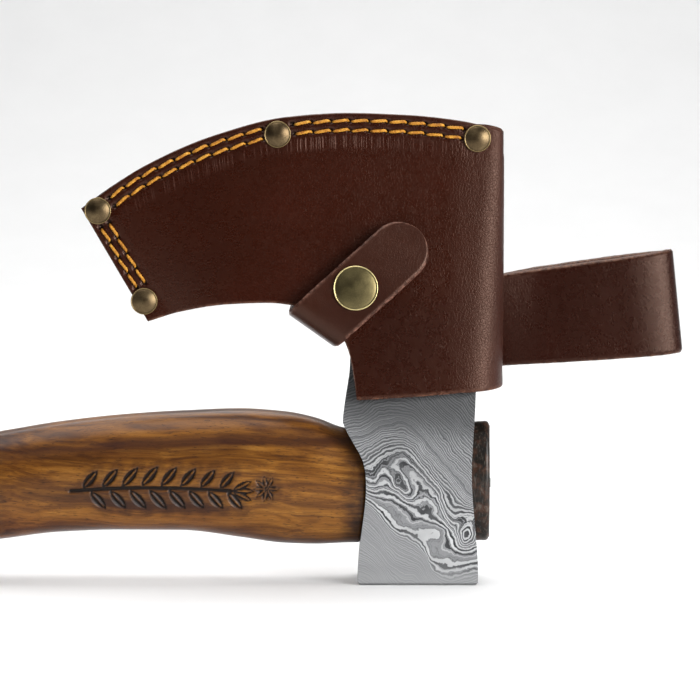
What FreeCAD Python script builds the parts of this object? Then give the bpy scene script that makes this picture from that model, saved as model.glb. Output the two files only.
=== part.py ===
import FreeCAD, Part
import os
import math
import Sketcher
from FreeCAD import Vector, Placement, Rotation, Matrix

# Bearded hand axe with a wooden haft and a stitched leather sheath.
# Frame: +Z from the poll to the cutting edge, +X from the haft's butt towards
# the eye end, Y through the thickness.  Origin: centre of the flat poll face.

doc = FreeCAD.newDocument("bearded_axe")
sheet = doc.addObject("Spreadsheet::Sheet", "Dims")

DIMS = [
    ("poll_half_thk", 13.0), ("cheek_half_thk", 14.0), ("edge_land", 0.25), ("bevel_slope", 0.22),
    ("eye_left_half_z", 19.3), ("eye_left_half_y", 9.4), ("eye_left_z", 32.2),
    ("eye_right_half_z", 20.6), ("eye_right_half_y", 10.4), ("eye_right_z", 33.9),
    ("eye_clear", 0.10), ("tongue_end", 24.3),
    ("wedge_thk", 3.4), ("wedge_tip", 0.5), ("wedge_wide", 38.0), ("wedge_deep", 28.0),
    ("steel_thk", 3.0), ("steel_tip", 0.5), ("steel_wide", 14.0), ("steel_deep", 20.0), ("steel_z", 33.9),
    ("leather_thk", 3.0), ("welt_thk", 3.0), ("welt_width", 7.0),
    ("fold_outer_x", 28.9),
    ("rivet_cap_rad", 4.55), ("rivet_cap_rise", 2.1), ("rivet_post_rad", 1.5), ("rivet_base_rad", 4.4),
    ("rivet_base_thk", 0.9),
    ("row_outer", 2.6), ("row_inner", 5.8), ("stitch_len", 5.2), ("stitch_pitch", 6.3), ("thread_rad", 0.45),
    ("strap_width", 20.4), ("strap_thk", 2.6), ("strap_angle", 42.0), ("strap_tip", 28.4), ("strap_lift", 3.8),
    ("snap_cap_rad", 7.5), ("snap_cap_rise", 2.4), ("snap_hole_rad", 2.2),
    ("socket_rad", 6.2), ("socket_bore", 3.5), ("stud_rad", 2.5), ("stud_neck", 2.1), ("flange_rad", 6.0),
    ("flange_thk", 0.8),
    ("tail_rivet_rad", 4.5),
    ("loop_width", 30.2), ("loop_tip_width", 35.4), ("loop_thk", 2.8), ("loop_reach", 88.5), ("loop_open", 8.0), ("loop_angle", 6.0),
    ("loop_split", 12.0), ("loop_start", 16.0),
]
for i, (name, val) in enumerate(DIMS):
    sheet.set("A%d" % (i + 1), name)
    sheet.set("B%d" % (i + 1), str(val))
    sheet.setAlias("B%d" % (i + 1), name)
doc.recompute()


def dim(name):
    return float(getattr(sheet, name))


# ---------------------------------------------------------------- expressions
class Q:
    """A number together with the sheet expression that gives it."""

    def __init__(self, v, e=None):
        self.v = float(v)
        self.e = e if e is not None else repr(float(v))
        self.free = e is None

    def _mk(self, o, v, s):
        r = Q(v, s)
        r.free = self.free and o.free
        return r

    def __add__(self, o):
        o = q(o)
        return self._mk(o, self.v + o.v, "(%s + %s)" % (self.e, o.e))

    def __sub__(self, o):
        o = q(o)
        return self._mk(o, self.v - o.v, "(%s - %s)" % (self.e, o.e))

    def __mul__(self, o):
        o = q(o)
        return self._mk(o, self.v * o.v, "(%s * %s)" % (self.e, o.e))

    def __neg__(self):
        return q(0.0) - self


def q(x):
    return x if isinstance(x, Q) else Q(x)


def D(name):
    return Q(dim(name), "Dims." + name)


# ------------------------------------------------------------- curve tables
def pchip(tab):
    xs = [p[0] for p in tab]
    ys = [p[1] for p in tab]
    n = len(xs)
    h = [xs[i + 1] - xs[i] for i in range(n - 1)]
    dl = [(ys[i + 1] - ys[i]) / h[i] for i in range(n - 1)]
    m = [0.0] * n
    m[0] = dl[0]
    m[-1] = dl[-1]
    for i in range(1, n - 1):
        if dl[i - 1] * dl[i] > 0:
            w1 = 2 * h[i] + h[i - 1]
            w2 = h[i] + 2 * h[i - 1]
            m[i] = (w1 + w2) / (w1 / dl[i - 1] + w2 / dl[i])

    def f(x):
        if x <= xs[0]:
            return ys[0] + m[0] * (x - xs[0])
        if x >= xs[-1]:
            return ys[-1] + m[-1] * (x - xs[-1])
        i = 0
        while x > xs[i + 1]:
            i += 1
        t = (x - xs[i]) / h[i]
        return ((2 * t ** 3 - 3 * t * t + 1) * ys[i] + (t ** 3 - 2 * t * t + t) * h[i] * m[i]
                + (-2 * t ** 3 + 3 * t * t) * ys[i + 1] + (t ** 3 - t * t) * h[i] * m[i + 1])
    return f


# top edge of the sheath, cutting edge, mouth of the sheath (x, z)
TOP = [(-113.6, 126.6), (-92.6, 140.6), (-68.3, 151.2), (-43.9, 157.3), (-23.6, 158.6), (-3.4, 157.9),
       (12.8, 156.2), (29.1, 152.6)]
EDGE = [(-84.6, 131.0), (-70, 138.9), (-50, 145.2), (-30, 147.3), (-10, 147.1), (10, 145.6), (23.2, 143.2)]
top = pchip(TOP)
edge = pchip(EDGE)
cheek = pchip([(-10, dim("poll_half_thk") - 0.6), (0, dim("poll_half_thk")), (6, dim("poll_half_thk") + 0.6),
               (13, dim("cheek_half_thk")), (47, dim("cheek_half_thk")), (55, 13.2), (62, 11.4), (70, 9.2),
               (80, 7.0), (90, 5.4), (100, 4.3), (115, 3.2), (130, 2.4), (148, 2.0), (170, 1.6)])


def smooth(a, b, t):
    t = min(1.0, max(0.0, (t - a) / (b - a)))
    return t * t * (3 - 2 * t)


def head_half(x, z):
    """Half thickness of the head before grinding the bevel."""
    w = cheek(z)
    if z <= 47:
        return w
    f = math.exp(-((max(0.0, -x - 8.0)) / 45.0) ** 1.5)
    fe = 1 - (1 - f) * smooth(50, 85, z)
    return 1.7 + (w - 1.7) * fe


def bevel_half(x, z):
    xx = min(40.0, max(-100.0, x))
    s = (edge(xx + 1) - edge(xx - 1)) / 2.0
    d = (edge(xx) - z) / math.sqrt(1 + s * s)
    return dim("edge_land") + dim("bevel_slope") * d


def seam_x(z):
    """Left (stitched) edge of the sheath at height z."""
    return -91.3 - 0.579 * (z - 87.9)


def pocket_half(x, z):
    """Inner half gap of the sheath away from the fold."""
    t = top(min(x, 29.1)) - z - 8.0
    p = (math.sqrt(t * t + 16) - 4) / 84.0 if t > 0 else 0.0
    dx = x - seam_x(z)
    s = 1 - math.exp(-((dx - 9) / 22.0) ** 1.3) if dx > 9 else 0.0
    return dim("welt_thk") / 2.0 + 10.9 * p * s


def outer_half(x, z):
    return pocket_half(x, z) + dim("leather_thk")


def slope(x, z):
    """Outer half thickness and its two slopes."""
    e = 0.5
    return (outer_half(x, z), (outer_half(x + e, z) - outer_half(x - e, z)) / (2 * e),
            (outer_half(x, z + e) - outer_half(x, z - e)) / (2 * e))


def spl(pts):
    c = Part.BSplineCurve()
    c.interpolate([Vector(*p) for p in pts])
    return c.toShape()


def xz(pts, y=0.0):
    return [(p[0], y, p[1]) for p in pts]


def line(a, b):
    return Part.LineSegment(Vector(*a), Vector(*b)).toShape()


def prism(edges, y0, y1):
    """Solid from a closed XZ outline at y = y0, run to y = y1."""
    w = Part.Wire(Part.__sortEdges__(edges))
    f = Part.Face(w)
    f.translate(Vector(0, y0, 0))
    return f.extrude(Vector(0, y1 - y0, 0))


def put(name, shape, placement=None):
    o = doc.addObject("Part::Feature", name)
    o.Label = name
    o.Shape = shape
    if placement is not None:
        o.Placement = placement
    return o


def solid_of(shape):
    """Largest solid of a boolean result."""
    s = sorted(shape.Solids, key=lambda k: -k.Volume)
    return s[0]


OUT = []

# ------------------------------------------------------------------ axe head
LEFT_SIDE = [(-24.3, 63.2), (-25.35, 55.1)]
LEFT_FLARE = [(-25.35, 55.1), (-21.2, 47.1), (-18.4, 41.4), (-17.6, 36.7), (-17.7, 28.5), (-18.6, 20.7),
              (-19.6, 12.9), (-20.4, 0.0)]
RIGHT = [(20.2, 0.0), (19.7, 13.9), (18.4, 28.0), (18.0, 40.0), (18.8, 53.8), (20.0, 80.0), (21.8, 120.0),
         (23.2, 143.2)]
UNDER = [(-64.5, 96.3), (-58, 97.3), (-50, 97.5), (-41, 96.5), (-33, 93.8), (-27, 89.0), (-23.8, 83.0),
         (-22.9, 77.0), (-23.3, 70.0), (-25.35, 55.1)]
outline = [
    line((-20.4, 0, 0), (20.2, 0, 0)), spl(xz(RIGHT)), spl(xz(list(reversed(EDGE)))),
    line((-84.6, 0, 131.0), (-64.5, 0, 96.3)), spl(xz(UNDER)), spl(xz(LEFT_FLARE)),
]
blank = prism(outline, -20, 20)


def half_space(fn, xs, zs, far):
    """Solid of everything with y below fn(x, z)."""
    s = Part.BSplineSurface()
    s.interpolate([[Vector(x, fn(x, z), z) for z in zs] for x in xs])
    return s.toShape().extrude(Vector(0, -far, 0))


def mirror_y(s):
    return s.mirror(Vector(0, 0, 0), Vector(0, 1, 0))


gx = [-95 + 7.5 * i for i in range(18)]
gz = [-6 + 6.0 * i for i in range(28)]
lens = half_space(head_half, gx, gz, 60)
head = blank.common(lens).common(mirror_y(lens))
bx = [-95 + 6.0 * i for i in range(22)]
bz = [90 + 7.0 * i for i in range(10)]


def bevel_grid(x, z):
    return bevel_half(x, z)


def bevel_tool():
    pts = [[Vector(x, bevel_half(x, z), z) for z in [60, 80, 100, 120, 140, 160]] for x in bx]
    s = Part.BSplineSurface()
    s.interpolate(pts)
    return s.toShape().extrude(Vector(0, 60, 0))


bev = bevel_tool()
head = head.cut(bev).cut(mirror_y(bev))


def oval(x, zc, hz, hy, p=2.15, n=20):
    pts = []
    for i in range(n):
        a = 2 * math.pi * i / n
        c, s = math.cos(a), math.sin(a)
        pts.append(Vector(x, hy * math.copysign(abs(s) ** (2.0 / p), s), zc + hz * math.copysign(abs(c) ** (2.0 / p), c)))
    b = Part.BSplineCurve()
    b.interpolate(Points=pts, PeriodicFlag=True)
    return Part.Wire([b.toShape()])


def eye_form(x0, x1, clear):
    """Tapered oval bar that fills the eye, less the given clearance."""
    def at(x):
        t = (x + 25.0) / 50.0
        zc = dim("eye_left_z") + t * (dim("eye_right_z") - dim("eye_left_z"))
        hz = dim("eye_left_half_z") + t * (dim("eye_right_half_z") - dim("eye_left_half_z")) - clear
        hy = dim("eye_left_half_y") + t * (dim("eye_right_half_y") - dim("eye_left_half_y")) - clear
        return oval(x, zc, hz, hy)
    return Part.makeLoft([at(x0), at(x1)], True, True)


head = head.cut(eye_form(-40, 40, 0.0))
head = solid_of(head)
crisp = [e for e in head.Edges if e.BoundBox.ZMax < 0.05]
try:
    eased = head.makeChamfer(0.7, crisp)
    if eased.isValid() and eased.Volume > 0.98 * head.Volume:
        head = solid_of(eased)
except Exception:
    pass
OUT.append(put("axe_head", head))

# -------------------------------------------------------------------- handle
HT = [(-24.7, 51.9), (-34.8, 55.4), (-45, 57.5), (-60.2, 58.5), (-80.4, 57.8), (-100.7, 56.4), (-121, 54.1),
      (-141.3, 50.7), (-160, 47.6), (-180, 44.6), (-200, 42.1), (-220, 40.2), (-240, 38.7), (-260, 37.6),
      (-280, 37.0), (-300, 37.0), (-320, 37.8), (-340, 40.0), (-358, 43.6), (-372, 46.8), (-384, 48.5), (-400, 48.0)]
HB = [(-24.7, 12.6), (-34.8, 12.2), (-45, 12.5), (-60.2, 14.5), (-80.4, 16.9), (-100.7, 17.0), (-121, 16.2),
      (-141.3, 13.9), (-160, 11.9), (-180, 10.0), (-200, 8.4), (-220, 7.0), (-240, 5.7), (-260, 4.5), (-280, 3.4),
      (-300, 2.3), (-320, 1.3), (-340, 0.45), (-358, 0.05), (-372, 0.6), (-386, 3.0), (-400, 8.0)]
HY = [(-14, 12.0), (-25, 12.5), (-35, 13.0), (-60, 13.6), (-100, 13.4), (-141, 13.0), (-200, 12.5), (-260, 12.2),
      (-320, 12.5), (-360, 13.5), (-385, 14.0), (-402, 13.6)]


def rev(t):
    return sorted(t, key=lambda p: p[0])


ht = pchip(rev(HT + [(-12.0, 50.8)]))
hb = pchip(rev(HB + [(-12.0, 12.9)]))
hy = pchip(rev(HY))
stations = [-402, -394, -384, -372, -358, -340, -318, -295, -270, -240, -210, -180, -155, -130, -110, -90, -72, -56,
            -44, -34, -25, -12]
haft = Part.makeLoft([oval(x, (ht(x) + hb(x)) / 2.0, (ht(x) - hb(x)) / 2.0, hy(x), 2.25) for x in stations], True, False)
# shoulder follows the concave flank of the head
flank = spl([(p[0] - 0.2, 0, p[1]) for p in LEFT_FLARE + [(-20.6, -6.0)]])
sh = [flank, line((-20.8, 0, -6.0), (40, 0, -6.0)), line((40, 0, -6.0), (40, 0, 70)),
      line((40, 0, 70), (-25.55, 0, 70)), line((-25.55, 0, 70), (-25.55, 0, 55.1))]
haft = haft.cut(prism(sh, -20, 20))
# slanted butt
butt = [line((-398, 0, 44), (-390, 0, 4)), line((-390, 0, 4), (-388.0, 0, -6)), line((-388.0, 0, -6), (-420, 0, -6)),
        line((-420, 0, -6), (-420, 0, 60)), line((-420, 0, 60), (-401.2, 0, 60)), line((-401.2, 0, 60), (-398, 0, 44))]
haft = haft.cut(prism(butt, -20, 20))
tongue = eye_form(-27.0, dim("tongue_end"), dim("eye_clear"))
endcap = [e for e in tongue.Edges if abs(e.BoundBox.XMin - dim("tongue_end")) < 0.01 and abs(e.BoundBox.XMax - dim("tongue_end")) < 0.01]
tongue = tongue.makeChamfer(1.2, endcap)
handle = haft.fuse(tongue)
te, wd = dim("tongue_end"), dim("wedge_deep")
x_in = te - wd
kerf = Part.Face(Part.makePolygon([Vector(x_in - 0.3, -dim("wedge_tip") / 2, 0), Vector(te + 3, -dim("wedge_thk") / 2 - 0.17, 0),
                                   Vector(te + 3, dim("wedge_thk") / 2 + 0.17, 0), Vector(x_in - 0.3, dim("wedge_tip") / 2, 0),
                                   Vector(x_in - 0.3, -dim("wedge_tip") / 2, 0)])).extrude(Vector(0, 0, 80))
sz = dim("steel_z")
slot = Part.Face(Part.makePolygon([Vector(te - dim("steel_deep") - 0.2, 0, sz - dim("steel_tip") / 2 - 0.02),
                                   Vector(te + 3, 0, sz - dim("steel_thk") / 2 - 0.2),
                                   Vector(te + 3, 0, sz + dim("steel_thk") / 2 + 0.2),
                                   Vector(te - dim("steel_deep") - 0.2, 0, sz + dim("steel_tip") / 2 + 0.02),
                                   Vector(te - dim("steel_deep") - 0.2, 0, sz - dim("steel_tip") / 2 - 0.02)])).extrude(
    Vector(0, dim("steel_wide") + 0.1, 0))
slot.translate(Vector(0, -(dim("steel_wide") + 0.1) / 2, 0))
handle = solid_of(handle.cut(kerf).cut(slot))
OUT.append(put("handle", handle))


# ------------------------------------------------------- part design helpers
def origin_plane(body, role):
    for f in body.Origin.OriginFeatures:
        if f.Role == role:
            return f
    raise RuntimeError("no plane " + role)


def new_body(name):
    b = doc.addObject("PartDesign::Body", name)
    b.Label = name
    return b


def new_sketch(body, role, name):
    sk = body.newObject("Sketcher::SketchObject", name)
    sk.AttachmentSupport = [(origin_plane(body, role), "")]
    sk.MapMode = "FlatFace"
    return sk


def bind(sk, idx, val):
    if not val.free:
        sk.setExpression("Constraints[%d]" % idx, val.e)


def outline_in(sk, pts, arcs=None):
    """Closed outline through pts (pairs of Q or numbers).  arcs: {edge index: (radius Q, left)}."""
    arcs = arcs or {}
    base = sk.GeometryCount
    pts = [(q(a), q(b)) for a, b in pts]
    n = len(pts)
    ends = []
    for i in range(n):
        p0 = Vector(pts[i][0].v, pts[i][1].v, 0)
        p1 = Vector(pts[(i + 1) % n][0].v, pts[(i + 1) % n][1].v, 0)
        if i in arcs:
            r, left = arcs[i]
            r = q(r)
            d = p1.sub(p0)
            hgt = math.sqrt(max(0.0, r.v * r.v - d.Length ** 2 / 4.0))
            nrm = Vector(-d.y, d.x, 0)
            nrm.normalize()
            c = (p0 + p1) * 0.5 + nrm * (hgt if left else -hgt)
            a0 = math.atan2(p0.y - c.y, p0.x - c.x)
            a1 = math.atan2(p1.y - c.y, p1.x - c.x)
            if not left:
                a0, a1 = a1, a0
            sk.addGeometry(Part.ArcOfCircle(Part.Circle(c, Vector(0, 0, 1), r.v), a0, a1), False)
            ends.append((1, 2) if left else (2, 1))
        else:
            sk.addGeometry(Part.LineSegment(p0, p1), False)
            ends.append((1, 2))
    for i in range(n):
        j = (i + 1) % n
        sk.addConstraint(Sketcher.Constraint("Coincident", base + i, ends[i][1], base + j, ends[j][0]))
    for i, (a, b) in enumerate(pts):
        for kind, val, axis in (("DistanceX", a, -2), ("DistanceY", b, -1)):
            if abs(val.v) < 1e-9:
                sk.addConstraint(Sketcher.Constraint("PointOnObject", base + i, ends[i][0], axis))
            else:
                k = sk.addConstraint(Sketcher.Constraint(kind, -1, 1, base + i, ends[i][0], val.v))
                bind(sk, k, val)
    for i, (r, left) in arcs.items():
        r = q(r)
        d = math.hypot(pts[i][0].v - pts[(i + 1) % n][0].v, pts[i][1].v - pts[(i + 1) % n][1].v)
        if abs(d - 2 * r.v) > 1e-6:
            k = sk.addConstraint(Sketcher.Constraint("Radius", base + i, r.v))
            bind(sk, k, r)


def circle_in(sk, r, cx=0.0, cy=0.0):
    i = sk.GeometryCount
    sk.addGeometry(Part.Circle(Vector(cx, cy, 0), Vector(0, 0, 1), q(r).v), False)
    if cx == 0 and cy == 0:
        sk.addConstraint(Sketcher.Constraint("Coincident", i, 3, -1, 1))
    else:
        sk.addConstraint(Sketcher.Constraint("DistanceX", -1, 1, i, 3, cx))
        sk.addConstraint(Sketcher.Constraint("DistanceY", -1, 1, i, 3, cy))
    k = sk.addConstraint(Sketcher.Constraint("Radius", i, q(r).v))
    bind(sk, k, q(r))


def frame_at(origin, ux, uy):
    """Placement whose local X and Y run along ux and uy."""
    ux = Vector(*ux)
    ux.normalize()
    uy = Vector(*uy)
    uy = uy - ux * ux.dot(uy)
    uy.normalize()
    uz = ux.cross(uy)
    m = Matrix(ux.x, uy.x, uz.x, origin[0], ux.y, uy.y, uz.y, origin[1], ux.z, uy.z, uz.z, origin[2], 0, 0, 0, 1)
    return Placement(m)


def turned(name, pts, placement, arcs=None):
    """Body of revolution about its local Y axis."""
    b = new_body(name)
    sk = new_sketch(b, "XY_Plane", name + "_profile")
    outline_in(sk, pts, arcs)
    rv = b.newObject("PartDesign::Revolution", name + "_turn")
    rv.Profile = sk
    rv.ReferenceAxis = (sk, ["V_Axis"])
    rv.Angle = 360.0
    b.Placement = placement
    return b


def padded(name, pts, length, placement, arcs=None, holes=(), role="XY_Plane"):
    """Body padded up from its local XY plane."""
    b = new_body(name)
    sk = new_sketch(b, role, name + "_outline")
    outline_in(sk, pts, arcs)
    for h in holes:
        circle_in(sk, *h)
    pd = b.newObject("PartDesign::Pad", name + "_pad")
    pd.Profile = sk
    pd.Length = q(length).v
    if not q(length).free:
        pd.setExpression("Length", q(length).e)
    b.Placement = placement
    return b


# ------------------------------------------------------------------- wedges
half_w = D("wedge_thk") * 0.5
wed = padded("eye_wedge",
             [(D("tongue_end") - D("wedge_deep"), -(D("wedge_tip") * 0.5) + 0.04), (D("tongue_end") + 0.2, -half_w + 0.04),
              (D("tongue_end") + 0.2, half_w - 0.04), (D("tongue_end") - D("wedge_deep"), D("wedge_tip") * 0.5 - 0.04)],
             D("wedge_wide"), Placement(Vector(0, 0, dim("eye_right_z") - dim("wedge_wide") / 2 - 0.1), Rotation()))
sk = new_sketch(wed, "XZ_Plane", "steel_slot")
zz = D("wedge_wide") * 0.5 + 0.1
outline_in(sk, [(D("tongue_end") - D("steel_deep") - 0.2, zz - D("steel_tip") * 0.5 - 0.02),
                (D("tongue_end") + 1.0, zz - D("steel_thk") * 0.5 - 0.14),
                (D("tongue_end") + 1.0, zz + D("steel_thk") * 0.5 + 0.14),
                (D("tongue_end") - D("steel_deep") - 0.2, zz + D("steel_tip") * 0.5 + 0.02)])
pk = wed.newObject("PartDesign::Pocket", "steel_pocket")
pk.Profile = sk
pk.Type = 1
pk.Midplane = True
OUT.append(wed)
stl = padded("cross_wedge",
             [(D("tongue_end") - D("steel_deep"), -(D("steel_tip") * 0.5)), (D("tongue_end") + 0.3, -(D("steel_thk") * 0.5)),
              (D("tongue_end") + 0.3, D("steel_thk") * 0.5), (D("tongue_end") - D("steel_deep"), D("steel_tip") * 0.5)],
             D("steel_wide"), frame_at((0, dim("steel_wide") / 2, dim("steel_z")), (1, 0, 0), (0, 0, 1)))
OUT.append(stl)

# -------------------------------------------------------------- sheath shell
LV = [52, 62, 72, 82, 92, 102, 112, 122, 132, 140, 148, 156, 164]
FX = dim("fold_outer_x")


def fold_rad(z):
    return 15.0 - (z - 62.0) / 90.0 * 7.5


def section(z, inner):
    lt = dim("leather_thk")
    a = fold_rad(z)
    c = FX - a
    ax = a - lt if inner else a
    half = (lambda x: pocket_half(x, z)) if inner else (lambda x: outer_half(x, z))
    xs = [-132.0, -122.0, -112.0, -102.0, -92.0, -82.0, -70.0, -56.0, -42.0, -28.0, -14.0, 0.0]
    xs = [-132.0 + (x + 132.0) * (c + 132.0 - 3.0) / 132.0 for x in xs]
    pts = [(x, half(x)) for x in xs]
    for ph in (22, 42, 60, 74, 84):
        r = math.radians(ph)
        pts.append((c + ax * math.sin(r) ** 0.8, half(c) * math.cos(r) ** 0.8))
    front = [Vector(x, -y, z) for x, y in pts]
    back = [Vector(x, y, z) for x, y in reversed(pts)]
    curve = Part.BSplineCurve()
    curve.interpolate(front + [Vector(c + ax, 0, z)] + back)
    e1 = curve.toShape()
    e2 = Part.LineSegment(back[-1], front[0]).toShape()
    return Part.Wire([e1, e2])


outer = Part.makeLoft([section(z, False) for z in LV], True, False)
inner = Part.makeLoft([section(z, True) for z in LV], True, False)

MOUTH = [(-91.3, 88.3), (-80.4, 91.6), (-64.2, 94.3), (-50.0, 94.9), (-41.0, 93.9), (-33.0, 91.0), (-27.3, 86.4),
         (-24.2, 81.0), (-22.5, 75.5), (-21.4, 69.0), (-20.6, 62.5)]
HEM = [(-20.6, 62.5), (0.0, 63.8), (15.0, 65.1), (28.9, 66.6), (40.0, 67.8)]


def top_pts(drop=0.0):
    """Points along the top edge, moved inwards by drop."""
    out = []
    for x, _ in TOP:
        s = (top(x + 0.5) - top(x - 0.5))
        n = math.sqrt(1 + s * s)
        out.append((x + s * drop / n, top(x) - drop / n))
    return out


tp = [(p[0], p[1]) for p in top_pts()] + [(40.0, 148.5)]
tp[0] = (-113.7, 126.5)
sheath_prism = prism([spl(xz(tp)), line((40, 0, 148.5), (40, 0, 67.8)), spl(xz(list(reversed(HEM)))),
                      spl(xz(list(reversed(MOUTH)))), line((-91.3, 0, 88.3), (-113.7, 0, 126.5))], -40, 40)
shell = outer.cut(inner).common(sheath_prism)

# rivet places: three along the top seam, one at the lower end of the left seam
RIV = [(-108.0, 125.7), (-47.3, 151.4), (19.9, 150.0), (-92.5, 95.2)]
pr = dim("rivet_post_rad")


def rod(p, axis, r, length):
    return Part.makeCylinder(r, length, Vector(*p), Vector(*axis))


for x, z in RIV:
    shell = shell.cut(rod((x, -20, z), (0, 1, 0), pr, 40))

# snap place on the front panel and its outward direction
SNAP = (-20.9, 99.4)
hh, hx, hz = slope(*SNAP)
sn_o = (SNAP[0], -hh, SNAP[1])
sn_w = Vector(-hx, -1, -hz)
sn_w.normalize()
ang = math.radians(dim("strap_angle"))
sn_u = Vector(math.cos(ang), 0, math.sin(ang))
sn_u = sn_u - sn_w * sn_u.dot(sn_w)
sn_u.normalize()
shell = shell.cut(rod((Vector(*sn_o) - sn_w * 8), (sn_w.x, sn_w.y, sn_w.z), dim("snap_hole_rad"), 16))

# strap rivet on the back panel
FN = Vector(0.5779, 0, 0.8161)
FD = Vector(0.8161, 0, -0.5779)
fold_pt = Vector(SNAP[0] - 20.1 * math.cos(ang), 0, SNAP[1] - 20.1 * math.sin(ang))
back_dir = Vector(math.cos(math.radians(67.4)), 0, math.sin(math.radians(67.4)))
tr = fold_pt + back_dir * 29.8
hh, hx, hz = slope(tr.x, tr.z)
tr_o = Vector(tr.x, hh, tr.z)
tr_w = Vector(-hx, 1, -hz)
tr_w.normalize()
shell = shell.cut(rod(tr_o - tr_w * 8, (tr_w.x, tr_w.y, tr_w.z), pr, 16))

# belt loop frame on the back panel
LO = (2.0, 84.8)
hh, hx, hz = slope(*LO)
lo_o = Vector(LO[0], hh, LO[1])
lo_w = Vector(-hx, 1, -hz)
lo_w.normalize()
la = math.radians(dim("loop_angle"))
lo_u = Vector(math.cos(la), 0, math.sin(la))
lo_u = lo_u - lo_w * lo_u.dot(lo_w)
lo_u.normalize()
lo_v = lo_u.cross(lo_w)
LR = [lo_o + lo_u * (-7.0) + lo_v * k for k in (-9.0, 9.0)]
for p in LR:
    shell = shell.cut(rod(p - lo_w * 8, (lo_w.x, lo_w.y, lo_w.z), pr, 16))
shell = solid_of(shell)
OUT.append(put("sheath_shell", shell))

# ---------------------------------------------------------------------- welt
ww = dim("welt_width")
ti = top_pts(ww)
nl = (0.865, 0.501)
wl = [(x, z) for x, z in ti if x < 22 and x > -104]
# inner corner: top curve moved in meets the left seam moved in
ic = (-102.7, 124.8)
wl = [ic] + [p for p in wl if p[0] > ic[0] + 4]
low = (-91.3 + ww * nl[0], 88.3 + ww * nl[1])
low2 = (low[0] + 0.501 * 6, low[1] - 0.865 * 6)
inner_out = [spl(xz(wl)), line((wl[-1][0], 0, wl[-1][1]), (wl[-1][0] + 0.01, 0, 40)),
             line((wl[-1][0] + 0.01, 0, 40), (low2[0], 0, 40)), line((low2[0], 0, 40), (low2[0], 0, low2[1])),
             line((low2[0], 0, low2[1]), (ic[0], 0, ic[1]))]
welt_t = dim("welt_thk") / 2.0 - 0.05
band = prism([spl(xz(tp)), line((40, 0, 148.5), (40, 0, 67.8)), spl(xz(list(reversed(HEM)))),
              spl(xz(list(reversed(MOUTH)))), line((-91.3, 0, 88.3), (-113.7, 0, 126.5))], -welt_t, welt_t)
band = band.cut(prism(inner_out, -10, 10))
band = band.cut(Part.makeBox(120, 20, 160, Vector(wl[-1][0] - 0.01, -10, 20)))
band = band.cut(Part.makeBox(60, 20, 30, Vector(-85.3, -10, 72)))
for x, z in RIV:
    band = band.cut(rod((x, -20, z), (0, 1, 0), pr, 40))
OUT.append(put("sheath_welt", solid_of(band)))

# ------------------------------------------------------------- seam rivets
cr, rise = dim("rivet_cap_rad"), dim("rivet_cap_rise")
y_out = dim("leather_thk") + dim("welt_thk") / 2.0


def dome(r, rise, lip):
    """Domed cap turned about local Z, base at 0, with a short straight lip."""
    rad = (r * r + (rise - lip) ** 2) / (2 * (rise - lip))
    e = [Part.LineSegment(Vector(0, 0, 0), Vector(r, 0, 0)).toShape(),
         Part.LineSegment(Vector(r, 0, 0), Vector(r, 0, lip)).toShape(),
         Part.Arc(Vector(r, 0, lip), Vector(r * 0.55, 0, rise - rad + math.sqrt(rad * rad - (0.55 * r) ** 2)), Vector(0, 0, rise)).toShape(),
         Part.LineSegment(Vector(0, 0, rise), Vector(0, 0, 0)).toShape()]
    return Part.Face(Part.Wire(e)).revolve(Vector(0, 0, 0), Vector(0, 0, 1), 360)


def at(shape, origin, direction):
    s = shape.copy()
    s.Placement = Placement(Vector(*origin), Rotation(Vector(0, 0, 1), Vector(*direction)))
    return s


caps, posts = [], []
for x, z in RIV:
    caps.append(at(dome(cr, rise, 0.7), (x, -y_out - 0.02, z), (0, -1, 0)))
    p = rod((x, -y_out, z), (0, 1, 0), pr - 0.03, 2 * y_out + 0.05)
    base = rod((x, y_out + 0.02, z), (0, 1, 0), dim("rivet_base_rad"), dim("rivet_base_thk"))
    posts.append(p.fuse(base).removeSplitter())
OUT.append(put("seam_rivet_caps", Part.makeCompound([solid_of(c) for c in caps])))
OUT.append(put("seam_rivet_posts", Part.makeCompound([solid_of(c) for c in posts])))


# ------------------------------------------------------------------ stitches
def row_top(off):
    """Polyline of the top seam at the given distance below the edge."""
    out = []
    x = -113.0
    while x < 24.0:
        s = (top(x + 0.5) - top(x - 0.5))
        n = math.sqrt(1 + s * s)
        out.append((x + s * off / n, top(x) - off / n))
        x += 0.5
    return out


def row_left(off):
    out = []
    z = 126.0
    while z > 88.0:
        out.append((seam_x(z) + off * nl[0], z + off * nl[1]))
        z -= 0.5
    return out


def walk(line_pts, start, stop, pitch):
    """Midpoints and directions every pitch between two positions along a polyline."""
    acc = [0.0]
    for a, b in zip(line_pts, line_pts[1:]):
        acc.append(acc[-1] + math.hypot(b[0] - a[0], b[1] - a[1]))

    def loc(d):
        i = 0
        while i < len(acc) - 2 and acc[i + 1] < d:
            i += 1
        t = (d - acc[i]) / (acc[i + 1] - acc[i])
        a, b = line_pts[i], line_pts[i + 1]
        L = math.hypot(b[0] - a[0], b[1] - a[1])
        return (a[0] + t * (b[0] - a[0]), a[1] + t * (b[1] - a[1])), ((b[0] - a[0]) / L, (b[1] - a[1]) / L)
    n = max(1, int(round((stop - start) / pitch)))
    p = (stop - start) / n
    return [loc(start + (k + 0.5) * p) for k in range(n)]


def dist_along(line_pts, target):
    best, acc, where = 1e9, 0.0, 0.0
    for a, b in zip(line_pts, line_pts[1:]):
        d = math.hypot(a[0] - target[0], a[1] - target[1])
        if d < best:
            best, where = d, acc
        acc += math.hypot(b[0] - a[0], b[1] - a[1])
    return where


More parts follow.
